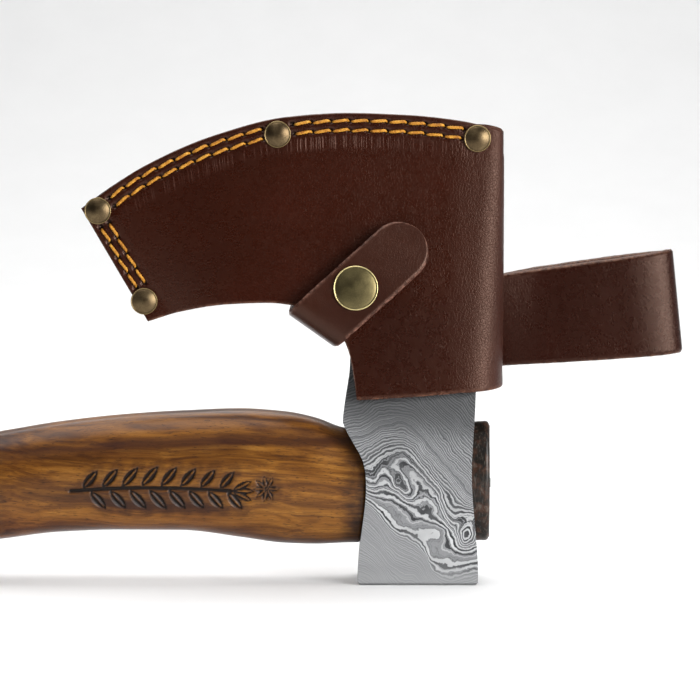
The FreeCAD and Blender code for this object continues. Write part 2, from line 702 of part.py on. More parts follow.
def stitch_places():
    out = []
    for off in (dim("row_outer"), dim("row_inner")):
        t = row_top(off)
        d = [dist_along(t, RIV[k]) for k in (0, 1, 2)]
        for a, b in ((0, 1), (1, 2)):
            out += walk(t, d[a] + 5.2, d[b] - 5.2, dim("stitch_pitch"))
        lft = row_left(off)
        out += walk(lft, dist_along(lft, RIV[0]) + 5.2, dist_along(lft, RIV[3]) - 5.2, 5.6)
    return out


front_t, back_t = [], []
sl, trd = dim("stitch_len"), dim("thread_rad")
for (c, d) in stitch_places():
    L = min(sl, 5.0)
    for side, store in ((-1, front_t), (1, back_t)):
        y = side * (outer_half(c[0], c[1]) + 0.02)
        store.append(Part.makeCylinder(trd, L, Vector(c[0] - d[0] * L / 2, y, c[1] - d[1] * L / 2), Vector(d[0], 0, d[1])))
OUT.append(put("needle_thread", Part.makeCompound(front_t)))
OUT.append(put("bobbin_thread", Part.makeCompound(back_t)))

# ------------------------------------------------------------------- strap
st, lift, sw = dim("strap_thk"), dim("strap_lift"), dim("strap_width")
sk_skew = 0.2254          # slope of the fold line across the strap
flap_low = -11.9
hw = D("strap_width") * 0.5
snap_frame = frame_at(sn_o, sn_u, sn_w.cross(sn_u))      # local Z is outward
lifted = Placement(Vector(*sn_o) + sn_w * (lift + 0.0), snap_frame.Rotation)
flap = padded("strap_flap",
              [(Q(flap_low) - hw * sk_skew, hw), (Q(flap_low) + hw * sk_skew, -hw), (D("strap_tip") - hw, -hw), (D("strap_tip") - hw, hw)],
              D("strap_thk"), lifted, arcs={2: (hw, True)}, holes=[(D("snap_hole_rad") + 0.05,)])
OUT.append(flap)

bd = back_dir - tr_w * back_dir.dot(tr_w)
bd.normalize()
tail_frame = frame_at(tr_o, bd, tr_w.cross(bd))
tail_place = Placement(tr_o + tr_w * 0.12, tail_frame.Rotation)
tail_low = -18.5
tail = padded("strap_tail",
              [(Q(tail_low) + hw * sk_skew, -hw), (0.0, -hw), (0.0, hw), (Q(tail_low) - hw * sk_skew, hw)],
              D("strap_thk"), tail_place, arcs={1: (hw, True)}, holes=[(D("rivet_post_rad"),)])
OUT.append(tail)

BEND = [(-15.5, 7.6), (-15.8, 5.0), (-14.9, 2.7), (-12.2, 1.3), (-6.0, 1.0), (2.0, 1.0), (10.0, 1.1), (13.4, 2.0),
        (14.8, 4.6), (13.8, 7.8), (12.2, 10.14)]


def ribbon(path, thk):
    c = Part.BSplineCurve()
    c.interpolate([Vector(p[0], p[1], 0) for p in path])
    n = 44
    ins, outs = [], []
    for i in range(n + 1):
        u = c.FirstParameter + (c.LastParameter - c.FirstParameter) * i / n
        p = c.value(u)
        d = c.tangent(u)[0]
        ins.append((p.x, p.y))
        outs.append((p.x + d.y * thk, p.y - d.x * thk))
    return ins, outs


def placed(y, n, f):
    v = fold_pt + FN * n + FD * f
    return (v.x, y, v.z)


ri, ro = ribbon(BEND, st)
ri, ro = ri[::4], ro[::4]
if ro[5][1] > ri[5][1]:
    raise RuntimeError("strap bend thickened inwards")
fl = sw / 2.0 / 0.9755 - 0.05
a = spl([placed(y, n, -fl) for y, n in ri])
b = spl([placed(y, n, -fl) for y, n in ro])
c1 = line(placed(ri[0][0], ri[0][1], -fl), placed(ro[0][0], ro[0][1], -fl))
c2 = line(placed(ri[-1][0], ri[-1][1], -fl), placed(ro[-1][0], ro[-1][1], -fl))
bend = Part.Face(Part.Wire(Part.__sortEdges__([a, c2, b, c1]))).extrude(FD * (2 * fl))
OUT.append(put("strap_bend", bend))

# ------------------------------------------------------- snap and strap rivet
turn_frame = frame_at(sn_o, sn_u, sn_w)                   # local Y is outward
lth = D("leather_thk")
OUT.append(turned("snap_stud",
                  [(0.0, 0.03), (D("flange_rad"), 0.03), (D("flange_rad"), 0.7), (D("stud_neck") + 0.7, 0.95), (D("stud_neck"), 1.5),
                   (D("stud_neck"), 2.2), (D("stud_rad"), 2.7), (D("stud_rad") - 0.3, 3.2), (D("stud_rad") - 1.3, 3.5), (0.0, 3.5)],
                  turn_frame))
OUT.append(turned("snap_post",
                  [(0.0, -lth - 0.03 - D("flange_thk")), (D("flange_rad") - 0.4, -lth - 0.03 - D("flange_thk")), (D("flange_rad"), -lth - 0.33),
                   (D("flange_rad"), -lth - 0.06), (D("snap_hole_rad") - 0.1, -lth - 0.06), (D("snap_hole_rad") - 0.1, 0.0), (0.0, 0.0)],
                  turn_frame))
OUT.append(turned("snap_socket",
                  [(D("socket_bore"), 1.25), (D("socket_rad") - 0.8, 1.25), (D("socket_rad"), 2.0), (D("socket_rad"), 3.75),
                   (0.0, 3.75), (0.0, 3.62), (D("socket_bore"), 3.62)],
                  turn_frame))
top_w = D("strap_lift") + D("strap_thk")
scr = D("snap_cap_rad")
OUT.append(turned("snap_cap",
                  [(0.0, D("strap_lift") + 0.03), (D("snap_hole_rad") - 0.05, D("strap_lift") + 0.03), (D("snap_hole_rad") - 0.05, top_w + 0.05),
                   (scr - 0.3, top_w + 0.05), (scr, top_w + 0.4), (scr, top_w + 0.9), (scr - 0.5, top_w + 1.45), (scr - 1.3, top_w + 1.7),
                   (scr - 2.0, top_w + 1.75), (0.6, top_w + D("snap_cap_rise")), (0.0, top_w + D("snap_cap_rise"))],
                  turn_frame, arcs={8: (Q(24.0), True)}))
tail_turn = frame_at(tr_o + tr_w * 0.12, bd, tr_w)
trr = D("tail_rivet_rad")
OUT.append(turned("strap_rivet_cap",
                  [(0.0, D("strap_thk") + 0.04), (trr, D("strap_thk") + 0.04), (trr, D("strap_thk") + 0.7), (0.5, D("strap_thk") + 2.1), (0.0, D("strap_thk") + 2.1)],
                  tail_turn, arcs={2: (Q(8.2), True)}))
OUT.append(turned("strap_rivet_post",
                  [(0.0, -lth - 1.05), (trr - 0.5, -lth - 1.05), (trr, -lth - 0.75), (trr, -lth - 0.2), (D("rivet_post_rad") - 0.05, -lth - 0.2),
                   (D("rivet_post_rad") - 0.05, D("strap_thk")), (0.0, D("strap_thk"))],
                  tail_turn))

# ------------------------------------------------------------------ belt loop
lt = D("loop_thk")
loop_rot = frame_at(lo_o, lo_u, lo_w).Rotation          # local X along, Y outward, Z up
base_pl = Placement(lo_o + lo_w * 0.15 + lo_v * (-dim("loop_width") / 2.0), loop_rot)
if (loop_rot.multVec(Vector(0, 0, 1)) - lo_v).Length > 1e-6:
    raise RuntimeError("loop frame")
root = padded("belt_loop_root",
              [(-D("loop_start"), 0.0), (D("loop_split"), 0.0), (D("loop_split"), lt * 2.0), (-D("loop_start"), lt * 2.0)],
              D("loop_width"), base_pl)
sk = new_sketch(root, "XZ_Plane", "rivet_holes")
for k in (-9.0, 9.0):
    circle_in(sk, D("rivet_post_rad"), -7.0, dim("loop_width") / 2.0 + k)
pk = root.newObject("PartDesign::Pocket", "rivet_pocket")
pk.Profile = sk
pk.Type = 1
pk.Midplane = True
OUT.append(root)

# the free part of the strip: out, round its end and back
th = dim("loop_thk")
gap = dim("loop_open")
tip_r = (2 * th + gap) / 2.0
ex = dim("loop_reach") - tip_r
ls = dim("loop_split") + 0.3


def loop_outer():
    c1 = spl([(ls, 2 * th, 0), (26.0, 2 * th + gap * 0.42, 0), (44.0, 2 * th + gap * 0.86, 0), (62.0, 2 * th + gap * 1.0, 0), (ex, 2 * th + gap, 0)])
    arc = Part.Arc(Vector(ex, 2 * th + gap, 0), Vector(ex + tip_r, tip_r, 0), Vector(ex, 0, 0)).toShape()
    return [c1, arc, line((ex, 0, 0), (ls, 0, 0)), line((ls, 0, 0), (ls, 2 * th, 0))]


def loop_inner():
    r = gap / 2.0
    c1 = spl([(ls + 5.0, th + 0.5, 0), (26.5, th + gap * 0.38, 0), (44.0, th + gap * 0.85, 0), (62.0, th + gap * 0.99, 0), (ex, th + gap, 0)])
    arc = Part.Arc(Vector(ex, th + gap, 0), Vector(ex + r, th + r, 0), Vector(ex, th, 0)).toShape()
    return [c1, arc, line((ex, th, 0), (ls + 5.0, th, 0)), line((ls + 5.0, th, 0), (ls + 5.0, th + 0.5, 0))]


# the strip gets wider from the sheath towards its folded end
wr, wt, wp = dim("loop_width"), dim("loop_tip_width"), dim("loop_tip_width") + 4.0
lf = Part.Face(Part.Wire(Part.__sortEdges__(loop_outer()))).extrude(Vector(0, 0, wp))
li = Part.Face(Part.Wire(Part.__sortEdges__(loop_inner()))).extrude(Vector(0, 0, wp + 2))
li.translate(Vector(0, 0, -1))
s1, m_ = dim("loop_reach") + 2.0, wp / 2.0
flare = Part.Face(Part.makePolygon([Vector(ls - 1, -5, m_ - wr / 2), Vector(ls - 1, -5, m_ + wr / 2), Vector(s1, -5, m_ + wt / 2),
                                    Vector(s1, -5, m_ - wt / 2), Vector(ls - 1, -5, m_ - wr / 2)])).extrude(Vector(0, 30, 0))
loop = solid_of(lf.cut(li).common(flare))
OUT.append(put("belt_loop", loop, Placement(lo_o + lo_w * 0.15 + lo_v * (-wp / 2.0), loop_rot)))

lc, lp = [], []
for p in LR:
    q0 = p + lo_w * 0.15
    lc.append(at(dome(dim("tail_rivet_rad"), 2.0, 0.7), q0 + lo_w * (2 * th + 0.03), (lo_w.x, lo_w.y, lo_w.z)))
    shaft = rod(q0 - lo_w * (dim("leather_thk") + 0.25), (lo_w.x, lo_w.y, lo_w.z), pr - 0.04, 2 * th + dim("leather_thk") + 0.25)
    fl_ = rod(q0 - lo_w * (dim("leather_thk") + 1.15), (lo_w.x, lo_w.y, lo_w.z), dim("tail_rivet_rad"), 0.9)
    lp.append(solid_of(shaft.fuse(fl_).removeSplitter()))
OUT.append(put("loop_rivet_caps", Part.makeCompound([solid_of(c) for c in lc])))
OUT.append(put("loop_rivet_posts", Part.makeCompound(lp)))

# ---------------------------------------------------------------- verify, write
doc.recompute()
for o in doc.Objects:
    for word in ("Invalid", "Error"):
        if word in o.State:
            raise RuntimeError("%s is %s" % (o.Name, o.State))
for o in OUT:
    s = o.Shape
    if s.isNull() or not s.isValid() or not s.Solids:
        raise RuntimeError("bad shape in " + o.Label)
vol_pad = (dim("wedge_thk") + dim("wedge_tip")) / 2.0 * dim("wedge_deep") * dim("wedge_wide")
if not wed.Shape.Volume < 0.97 * vol_pad:
    raise RuntimeError("the wedge slot cut nothing")
if not root.Shape.Volume < (dim("loop_split") + dim("loop_start")) * 2 * th * dim("loop_width") - 20:
    raise RuntimeError("the rivet holes cut nothing")
os.makedirs("parts", exist_ok=True)
for o in OUT:
    o.Shape.exportStep("parts/%s.step" % o.Label)
    bb = o.Shape.BoundBox
    print("%-18s solids %3d  volume %10.1f  x %.1f..%.1f  y %.1f..%.1f  z %.1f..%.1f" % (
        o.Label, len(o.Shape.Solids), o.Shape.Volume, bb.XMin, bb.XMax, bb.YMin, bb.YMax, bb.ZMin, bb.ZMax))
print("snap origin", sn_o, "outward", tuple(sn_w), "along", tuple(sn_u))
print("tail rivet", tuple(tr_o), "outward", tuple(tr_w))
print("loop origin", tuple(lo_o), "along", tuple(lo_u), "outward", tuple(lo_w), "up", tuple(lo_v))
hp = Vector(*sn_o) + sn_w * (lift + st) + sn_u * flap_low
print("flap hinge", tuple(hp), "axis", tuple(FD))
lh = lo_o + lo_w * (0.15 + 2 * th) + lo_u * dim("loop_split")
print("loop hinge", tuple(lh), "axis", tuple(lo_v))
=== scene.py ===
import bpy
import math
import random
import numpy as np
from mathutils import Vector, Matrix


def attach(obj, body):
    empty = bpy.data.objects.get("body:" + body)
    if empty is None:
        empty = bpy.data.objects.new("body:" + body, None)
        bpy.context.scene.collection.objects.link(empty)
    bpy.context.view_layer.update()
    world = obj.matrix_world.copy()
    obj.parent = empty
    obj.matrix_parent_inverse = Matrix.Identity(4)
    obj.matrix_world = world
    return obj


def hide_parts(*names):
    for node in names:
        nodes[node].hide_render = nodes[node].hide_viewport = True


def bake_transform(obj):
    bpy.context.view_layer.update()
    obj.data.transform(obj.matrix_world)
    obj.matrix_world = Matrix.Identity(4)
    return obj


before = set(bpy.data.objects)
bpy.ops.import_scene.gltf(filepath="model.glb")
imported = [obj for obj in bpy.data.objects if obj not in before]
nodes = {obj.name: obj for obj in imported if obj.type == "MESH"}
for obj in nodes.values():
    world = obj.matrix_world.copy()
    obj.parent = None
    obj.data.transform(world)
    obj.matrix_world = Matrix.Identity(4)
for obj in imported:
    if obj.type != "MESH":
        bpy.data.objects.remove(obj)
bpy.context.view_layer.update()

MM = 0.001
rng = np.random.RandomState(11)


# ----------------------------------------------------------------- utilities
class Curve:
    """Monotone cubic through (x, y) pairs, straight beyond the ends."""

    def __init__(self, tab):
        t = sorted(tab)
        self.x = np.array([p[0] for p in t], float)
        self.y = np.array([p[1] for p in t], float)
        h = np.diff(self.x)
        d = np.diff(self.y) / h
        m = np.zeros(len(self.x))
        m[0], m[-1] = d[0], d[-1]
        for i in range(1, len(self.x) - 1):
            if d[i - 1] * d[i] > 0:
                w1, w2 = 2 * h[i] + h[i - 1], h[i] + 2 * h[i - 1]
                m[i] = (w1 + w2) / (w1 / d[i - 1] + w2 / d[i])
        self.h, self.m = h, m

    def __call__(self, x):
        x = np.asarray(x, float)
        i = np.clip(np.searchsorted(self.x, x) - 1, 0, len(self.x) - 2)
        t = (x - self.x[i]) / self.h[i]
        tc = np.clip(t, 0, 1)
        v = ((2 * tc ** 3 - 3 * tc ** 2 + 1) * self.y[i] + (tc ** 3 - 2 * tc ** 2 + tc) * self.h[i] * self.m[i]
             + (-2 * tc ** 3 + 3 * tc ** 2) * self.y[i + 1] + (tc ** 3 - tc ** 2) * self.h[i] * self.m[i + 1])
        v = np.where(x < self.x[0], self.y[0] + self.m[0] * (x - self.x[0]), v)
        return np.where(x > self.x[-1], self.y[-1] + self.m[-1] * (x - self.x[-1]), v)


def smooth(a, b, t):
    t = np.clip((np.asarray(t, float) - a) / (b - a), 0, 1)
    return t * t * (3 - 2 * t)


def hash3(i, j, k, seed):
    n = (i * 374761393 + j * 668265263 + k * 2147483647 + seed * 144665) & 0xFFFFFFFF
    n = ((n ^ (n >> 13)) * 1274126177) & 0xFFFFFFFF
    return ((n ^ (n >> 16)) & 0xFFFF) / 65535.0


def vnoise(p, scale, seed=0):
    """Smooth value noise in -1..1 at points p (N, 3)."""
    q = np.asarray(p, float) / scale
    f = np.floor(q).astype(np.int64)
    t = q - f
    t = t * t * (3 - 2 * t)
    out = np.zeros(len(q))
    for a in (0, 1):
        for b in (0, 1):
            for c in (0, 1):
                w = (t[:, 0] if a else 1 - t[:, 0]) * (t[:, 1] if b else 1 - t[:, 1]) * (t[:, 2] if c else 1 - t[:, 2])
                out += w * hash3(f[:, 0] + a, f[:, 1] + b, f[:, 2] + c, seed)
    return out * 2 - 1


def make_mesh(name, verts, faces, material, attrs=None, sharp=None):
    """Mesh object from millimetre coordinates."""
    me = bpy.data.meshes.new(name)
    me.from_pydata((np.asarray(verts, float) * MM).tolist(), [], [list(map(int, f)) for f in faces])
    me.update()
    me.polygons.foreach_set("use_smooth", [True] * len(me.polygons))
    for k, v in (attrs or {}).items():
        a = me.attributes.new(k, "FLOAT", "POINT")
        a.data.foreach_set("value", np.asarray(v, np.float32))
    ob = bpy.data.objects.new(name, me)
    bpy.context.scene.collection.objects.link(ob)
    if material is not None:
        me.materials.append(material)
    return ob


def grid_faces(nu, nv, base=0, close_u=False, flip=False):
    out = []
    for i in range(nu if close_u else nu - 1):
        i2 = (i + 1) % nu
        for j in range(nv - 1):
            f = (base + i * nv + j, base + i2 * nv + j, base + i2 * nv + j + 1, base + i * nv + j + 1)
            out.append(f[::-1] if flip else f)
    return out


def orient_out(ob):
    import bmesh
    bm = bmesh.new()
    bm.from_mesh(ob.data)
    bmesh.ops.recalc_face_normals(bm, faces=bm.faces)
    bm.to_mesh(ob.data)
    bm.free()


# ----------------------------------------------------- shared object geometry
TOP = [(-113.6, 126.6), (-92.6, 140.6), (-68.3, 151.2), (-43.9, 157.3), (-23.6, 158.6), (-3.4, 157.9), (12.8, 156.2), (29.1, 152.6)]
top = Curve(TOP)
LT, WELT, FX = 3.0, 3.0, 28.9


def seam_x(z):
    return -91.3 - 0.579 * (np.asarray(z, float) - 87.9)


def pocket_half(x, z):
    x = np.asarray(x, float)
    t = top(np.minimum(x, 29.1)) - z - 8.0
    p = np.where(t > 0, (np.sqrt(t * t + 16) - 4) / 84.0, 0.0)
    dx = x - seam_x(z)
    s = np.where(dx > 9, 1 - np.exp(-(np.maximum(dx - 9, 0) / 22.0) ** 1.3), 0.0)
    return WELT / 2.0 + 10.9 * p * s


def outer_half(x, z):
    return pocket_half(x, z) + LT


def fold_rad(z):
    return 15.0 - (np.asarray(z, float) - 62.0) / 90.0 * 7.5


RIV = [(-108.0, 125.7), (-47.3, 151.4), (19.9, 150.0), (-92.5, 95.2)]
NL = (0.865, 0.501)


def row_top(off):
    x = np.arange(-113.0, 24.0, 0.5)
    s = top(x + 0.5) - top(x - 0.5)
    n = np.sqrt(1 + s * s)
    return np.stack([x + s * off / n, top(x) - off / n], 1)


def row_left(off):
    z = np.arange(126.0, 88.0, -0.5)
    return np.stack([seam_x(z) + off * NL[0], z + off * NL[1]], 1)


def joints_along(line, start, stop, pitch):
    seg = np.linalg.norm(np.diff(line, axis=0), axis=1)
    acc = np.concatenate([[0], np.cumsum(seg)])
    n = max(1, int(round((stop - start) / pitch)))
    d = start + (stop - start) * np.arange(n + 1) / n
    return np.stack([np.interp(d, acc, line[:, 0]), np.interp(d, acc, line[:, 1])], 1)


def dist_along(line, target):
    seg = np.linalg.norm(np.diff(line, axis=0), axis=1)
    acc = np.concatenate([[0], np.cumsum(seg)])
    k = int(np.argmin(np.hypot(line[:, 0] - target[0], line[:, 1] - target[1])))
    return acc[k]


RUNS = []
for off in (2.6, 5.8):
    t = row_top(off)
    d = [dist_along(t, RIV[k]) for k in (0, 1, 2)]
    for a, b in ((0, 1), (1, 2)):
        RUNS.append(joints_along(t, d[a] + 5.2, d[b] - 5.2, 6.3))
    lf = row_left(off)
    RUNS.append(joints_along(lf, dist_along(lf, RIV[0]) + 5.2, dist_along(lf, RIV[3]) - 5.2, 5.6))
HOLES = np.concatenate(RUNS)


# ---------------------------------------------------------------- materials
class Mat:
    """Short hand for a node material."""

    def __init__(self, name):
        self.m = bpy.data.materials.new(name)
        self.m.use_nodes = True
        self.nt = self.m.node_tree
        self.nt.nodes.clear()
        self.out = self.nt.nodes.new("ShaderNodeOutputMaterial")
        self.b = self.nt.nodes.new("ShaderNodeBsdfPrincipled")
        self.nt.links.new(self.b.outputs[0], self.out.inputs[0])
        tc = self.nt.nodes.new("ShaderNodeTexCoord")
        sc = self.nt.nodes.new("ShaderNodeVectorMath")
        sc.operation = "SCALE"
        sc.inputs["Scale"].default_value = 1000.0
        self.nt.links.new(tc.outputs["Object"], sc.inputs[0])
        self.p = sc.outputs[0]                      # position in millimetres

    def put(self, sock, v):
        if isinstance(v, bpy.types.NodeSocket):
            self.nt.links.new(v, sock)
        elif v is not None:
            sock.default_value = v

    def set(self, name, v):
        self.put(self.b.inputs[name], v)

    def math(self, op, a, b=None, c=None, clamp=False):
        n = self.nt.nodes.new("ShaderNodeMath")
        n.operation = op
        n.use_clamp = clamp
        self.put(n.inputs[0], a)
        if b is not None:
            self.put(n.inputs[1], b)
        if c is not None:
            self.put(n.inputs[2], c)
        return n.outputs[0]

    def vec(self, op, a, b=None, scale=None):
        n = self.nt.nodes.new("ShaderNodeVectorMath")
        n.operation = op
        self.put(n.inputs[0], a)
        if b is not None:
            self.put(n.inputs[1], b)
        if scale is not None:
            self.put(n.inputs["Scale"], scale)
        return n.outputs["Value"] if op in ("DOT_PRODUCT", "LENGTH", "DISTANCE") else n.outputs[0]

    def noise(self, size, detail=2.0, rough=0.5, dist=0.0, vec=None, dims="3D", color=False, w=None):
        n = self.nt.nodes.new("ShaderNodeTexNoise")
        n.noise_dimensions = dims
        n.inputs["Scale"].default_value = 1.0 / size
        n.inputs["Detail"].default_value = detail
        n.inputs["Roughness"].default_value = rough
        n.inputs["Distortion"].default_value = dist
        if dims != "1D":
            self.put(n.inputs["Vector"], vec if vec is not None else self.p)
        if w is not None:
            self.put(n.inputs["W"], w)
        return n.outputs["Color"] if color else n.outputs[0]

    def voronoi(self, size, feature="F1", vec=None, rand=1.0, out=0):
        n = self.nt.nodes.new("ShaderNodeTexVoronoi")
        n.feature = feature
        n.inputs["Scale"].default_value = 1.0 / size
        n.inputs["Randomness"].default_value = rand
        self.put(n.inputs["Vector"], vec if vec is not None else self.p)
        return n.outputs[out]

    def ramp(self, f, stops, interp="LINEAR"):
        n = self.nt.nodes.new("ShaderNodeValToRGB")
        cr = n.color_ramp
        cr.interpolation = interp
        while len(cr.elements) < len(stops):
            cr.elements.new(0.5)
        for e, (pos, col) in zip(cr.elements, stops):
            e.position = pos
            e.color = col if len(col) == 4 else tuple(col) + (1,)
        self.put(n.inputs[0], f)
        return n.outputs[0]

    def step(self, f, a, b):
        n = self.nt.nodes.new("ShaderNodeMapRange")
        n.interpolation_type = "SMOOTHSTEP"
        self.put(n.inputs[0], f)
        n.inputs[1].default_value = a
        n.inputs[2].default_value = b
        return n.outputs[0]

    def remap(self, f, a, b, c, d):
        n = self.nt.nodes.new("ShaderNodeMapRange")
        self.put(n.inputs[0], f)
        for k, v in zip((1, 2, 3, 4), (a, b, c, d)):
            n.inputs[k].default_value = v
        return n.outputs[0]

    def mix(self, f, a, b, mode="MIX"):
        n = self.nt.nodes.new("ShaderNodeMix")
        n.data_type = "RGBA"
        n.blend_type = mode
        n.clamp_factor = True
        self.put(n.inputs[0], f)
        for k, v in ((6, a), (7, b)):
            if isinstance(v, tuple) and len(v) == 3:
                v = v + (1,)
            self.put(n.inputs[k], v)
        return n.outputs[2]

    def attr(self, name):
        n = self.nt.nodes.new("ShaderNodeAttribute")
        n.attribute_name = name
        return n.outputs["Fac"]

    def sep(self, v):
        n = self.nt.nodes.new("ShaderNodeSeparateXYZ")
        self.put(n.inputs[0], v)
        return n.outputs

    def comb(self, x, y, z):
        n = self.nt.nodes.new("ShaderNodeCombineXYZ")
        for k, v in enumerate((x, y, z)):
            self.put(n.inputs[k], v)
        return n.outputs[0]

    def bump(self, height, strength, dist_mm, prev=None):
        n = self.nt.nodes.new("ShaderNodeBump")
        n.inputs["Strength"].default_value = strength
        n.inputs["Distance"].default_value = dist_mm * MM
        self.put(n.inputs["Height"], height)
        if prev is not None:
            self.put(n.inputs["Normal"], prev)
        return n.outputs[0]


def srgb(h):
    v = [int(h[i:i + 2], 16) / 255.0 for i in (0, 2, 4)]
    return tuple((c / 12.92) if c <= 0.04045 else ((c + 0.055) / 1.055) ** 2.4 for c in v)


def leather(name, dark, mid, light, rough=0.42, matte=0.0, edge_col="8a6a5a", rim_col="5a4036", attrs=True, grain=1.0, spec=0.40, fold=False):
    m = Mat(name)
    big = m.noise(60, 3, 0.5, 0.2)
    med = m.noise(6, 4, 0.6)
    col = m.ramp(big, [(0.3, srgb(dark)), (0.52, srgb(mid)), (0.75, srgb(light))])
    col = m.mix(m.remap(med, 0.3, 0.7, 0.0, 0.18), col, srgb(dark))
    fine = m.noise(0.55, 3, 0.6)
    speck = m.step(fine, 0.60, 0.74)
    col = m.mix(m.math("MULTIPLY", speck, 0.20), col, srgb(light))
    cells = m.voronoi(0.95, "DISTANCE_TO_EDGE", vec=m.vec("ADD", m.p, m.vec("SCALE", m.noise(1.6, 2, 0.5, color=True), scale=0.9)))
    crease = m.step(cells, 0.0, 0.16)
    pebble = m.noise(0.8, 4, 0.62, 0.3)
    height = m.math("ADD", m.math("MULTIPLY", crease, 0.45), pebble)
    col = m.mix(m.math("MULTIPLY", m.math("SUBTRACT", 1.0, crease), 0.22), col, srgb(dark))
    r = m.remap(m.noise(3.0, 3, 0.6), 0.3, 0.7, rough - 0.03, rough + 0.04)
    if fold:
        fx = m.step(m.sep(m.p)[0], 8.0, 21.0)
        r = m.math("ADD", r, m.math("MULTIPLY", fx, 0.12))
        height = m.math("MULTIPLY", height, m.math("ADD", 1.0, m.math("MULTIPLY", fx, 0.9)))
    if attrs:
        hole_dent_and_shade, rim, wear = m.attr("hole_dent_and_shade"), m.attr("rim"), m.attr("wear")
        wr = m.attr("wrinkle")
        along = m.attr("along")
        lines = m.noise(0.55, 1.0, 0.4, dims="1D", w=m.math("ADD", along, m.math("MULTIPLY", m.noise(3.0, 2, 0.5), 0.5)))
        cut = m.math("MULTIPLY", m.step(lines, 0.54, 0.66), wr)
        col = m.mix(m.math("MULTIPLY", cut, 0.40), col, srgb("7c5a50"))
        height = m.math("SUBTRACT", height, m.math("MULTIPLY", cut, 0.9))
        wcol = m.mix(m.noise(1.1, 4, 0.65), srgb(edge_col), srgb(mid))
        wf = m.math("MULTIPLY", wear, m.step(m.noise(1.7, 4, 0.7), 0.38, 0.62))
        col = m.mix(wf, col, wcol)
        fib = m.noise(0.45, 3, 0.7)
        rc = m.mix(fib, srgb(rim_col), srgb(dark))
        col = m.mix(rim, col, rc)
        r = m.math("ADD", r, m.math("MULTIPLY", rim, 0.3), clamp=True)
        # painted shade: the needle holes are painted near black
        col = m.mix(hole_dent_and_shade, col, (0.004, 0.002, 0.002))
    m.set("Base Color", col)
    m.set("Roughness", r)
    n = m.bump(height, 0.36 * grain, 0.17)
    n = m.bump(m.noise(5.5, 2, 0.5), 0.10, 0.5, n)
    m.set("Normal", n)
    m.b.inputs["Specular IOR Level"].default_value = spec
    m.b.inputs["Specular Tint"].default_value = (1.0, 0.67, 0.53, 1.0)
    return m.m


mat_sheath = leather("sheath_leather", "220702", "290b03", "331007", rough=0.27, edge_col="8a5f4a", rim_col="3a241b", fold=True)
mat_strap = leather("strap_leather", "220c06", "2b120b", "35190f", rough=0.33, edge_col="9a6e5e", rim_col="7d5043", grain=0.7)
mat_loop = leather("loop_leather", "1b0401", "240702", "300c05", rough=0.27, edge_col="86604c", rim_col="6b4836", spec=0.27)


def inside_leather():
    m = Mat("flesh_side")
    n = m.noise(1.2, 5, 0.7)
    col = m.ramp(n, [(0.3, srgb("2c190f")), (0.7, srgb("5a3c2a"))])
    m.set("Base Color", col)
    m.set("Roughness", 0.9)
    m.set("Normal", m.bump(n, 0.6, 0.3))
    return m.m


mat_inside = inside_leather()


def welt_material():
    m = Mat("welt_leather")
    x, y, z = m.sep(m.p)
    fib = m.noise(0.5, 4, 0.7)
    col = m.ramp(fib, [(0.3, srgb("1a1410")), (0.55, srgb("33221a")), (0.8, srgb("4a3226"))])
    m.set("Base Color", col)
    m.set("Roughness", 0.72)
    m.set("Normal", m.bump(fib, 0.5, 0.25))
    return m.m


def brass(name, dark, mid, light, rough=0.30, blot=0.5, rim_col="8d7a55"):
    """Antiqued brass: smooth brushed face; brighter on convex points and the rim, partly rubbed brass and partly a
    painted highlight.
    """
    m = Mat(name)
    n1 = m.noise(3.4, 2, 0.5)
    n2 = m.noise(0.45, 3, 0.6)
    f = m.math("ADD", m.math("MULTIPLY", n1, blot), m.math("MULTIPLY", n2, 0.25))
    f = m.math("ADD", f, 0.375 - blot * 0.5)
    col = m.ramp(f, [(0.25, srgb(dark)), (0.5, srgb(mid)), (0.8, srgb(light))])
    g = m.nt.nodes.new("ShaderNodeNewGeometry")
    convex_wear_and_highlight = m.step(g.outputs["Pointiness"], 0.505, 0.58)
    # partly rubbed brass, partly a painted highlight on convex points and the rim
    col = m.mix(m.math("MULTIPLY", convex_wear_and_highlight, 0.5), col, srgb(light))
    col = m.mix(m.attr("edge"), col, srgb(rim_col))
    m.set("Base Color", col)
    m.b.inputs["Metallic"].default_value = 1.0
    m.set("Roughness", m.remap(n1, 0.3, 0.7, rough - 0.04, rough + 0.06))
    scr = m.noise(0.22, 2, 0.5, vec=m.vec("MULTIPLY", m.p, (1.0, 1.0, 4.0)))
    m.set("Normal", m.bump(scr, 0.12, 0.04))
    return m.m


mat_rivet = brass("rivet_brass", "30261a", "5c4d38", "8f7d5c", rough=0.36, blot=0.35)
# the snap's pale rim colour is partly rubbed brass, partly a painted highlight
mat_snap = brass("snap_brass", "4d4530", "6b6143", "95885c", rough=0.36, blot=0.22, rim_col="e6d59a")
mat_nickel = brass("snap_inner_brass", "3a3226", "7a6b4c", "a8966c", rough=0.4)


def thread_material():
    m = Mat("waxed_thread")
    n = m.noise(1.4, 3, 0.6)
    fib = m.noise(0.16, 3, 0.6)
    col = m.ramp(n, [(0.28, srgb("8a5212")), (0.5, srgb("b97d24")), (0.75, srgb("dba440"))])
    col = m.mix(m.math("MULTIPLY", m.step(fib, 0.5, 0.72), 0.4), col, srgb("7c480e"))
    # painted shade: the thread is darkened where it dives into the needle holes
    hole_shade_fac = m.attr("dive_shade")
    col = m.mix(hole_shade_fac, col, srgb("3c2008"))
    m.set("Base Color", col)
    m.set("Roughness", 0.55)
    m.set("Normal", m.bump(fib, 0.5, 0.08))
    m.b.inputs["Specular IOR Level"].default_value = 0.3
    return m.m


mat_thread = thread_material()


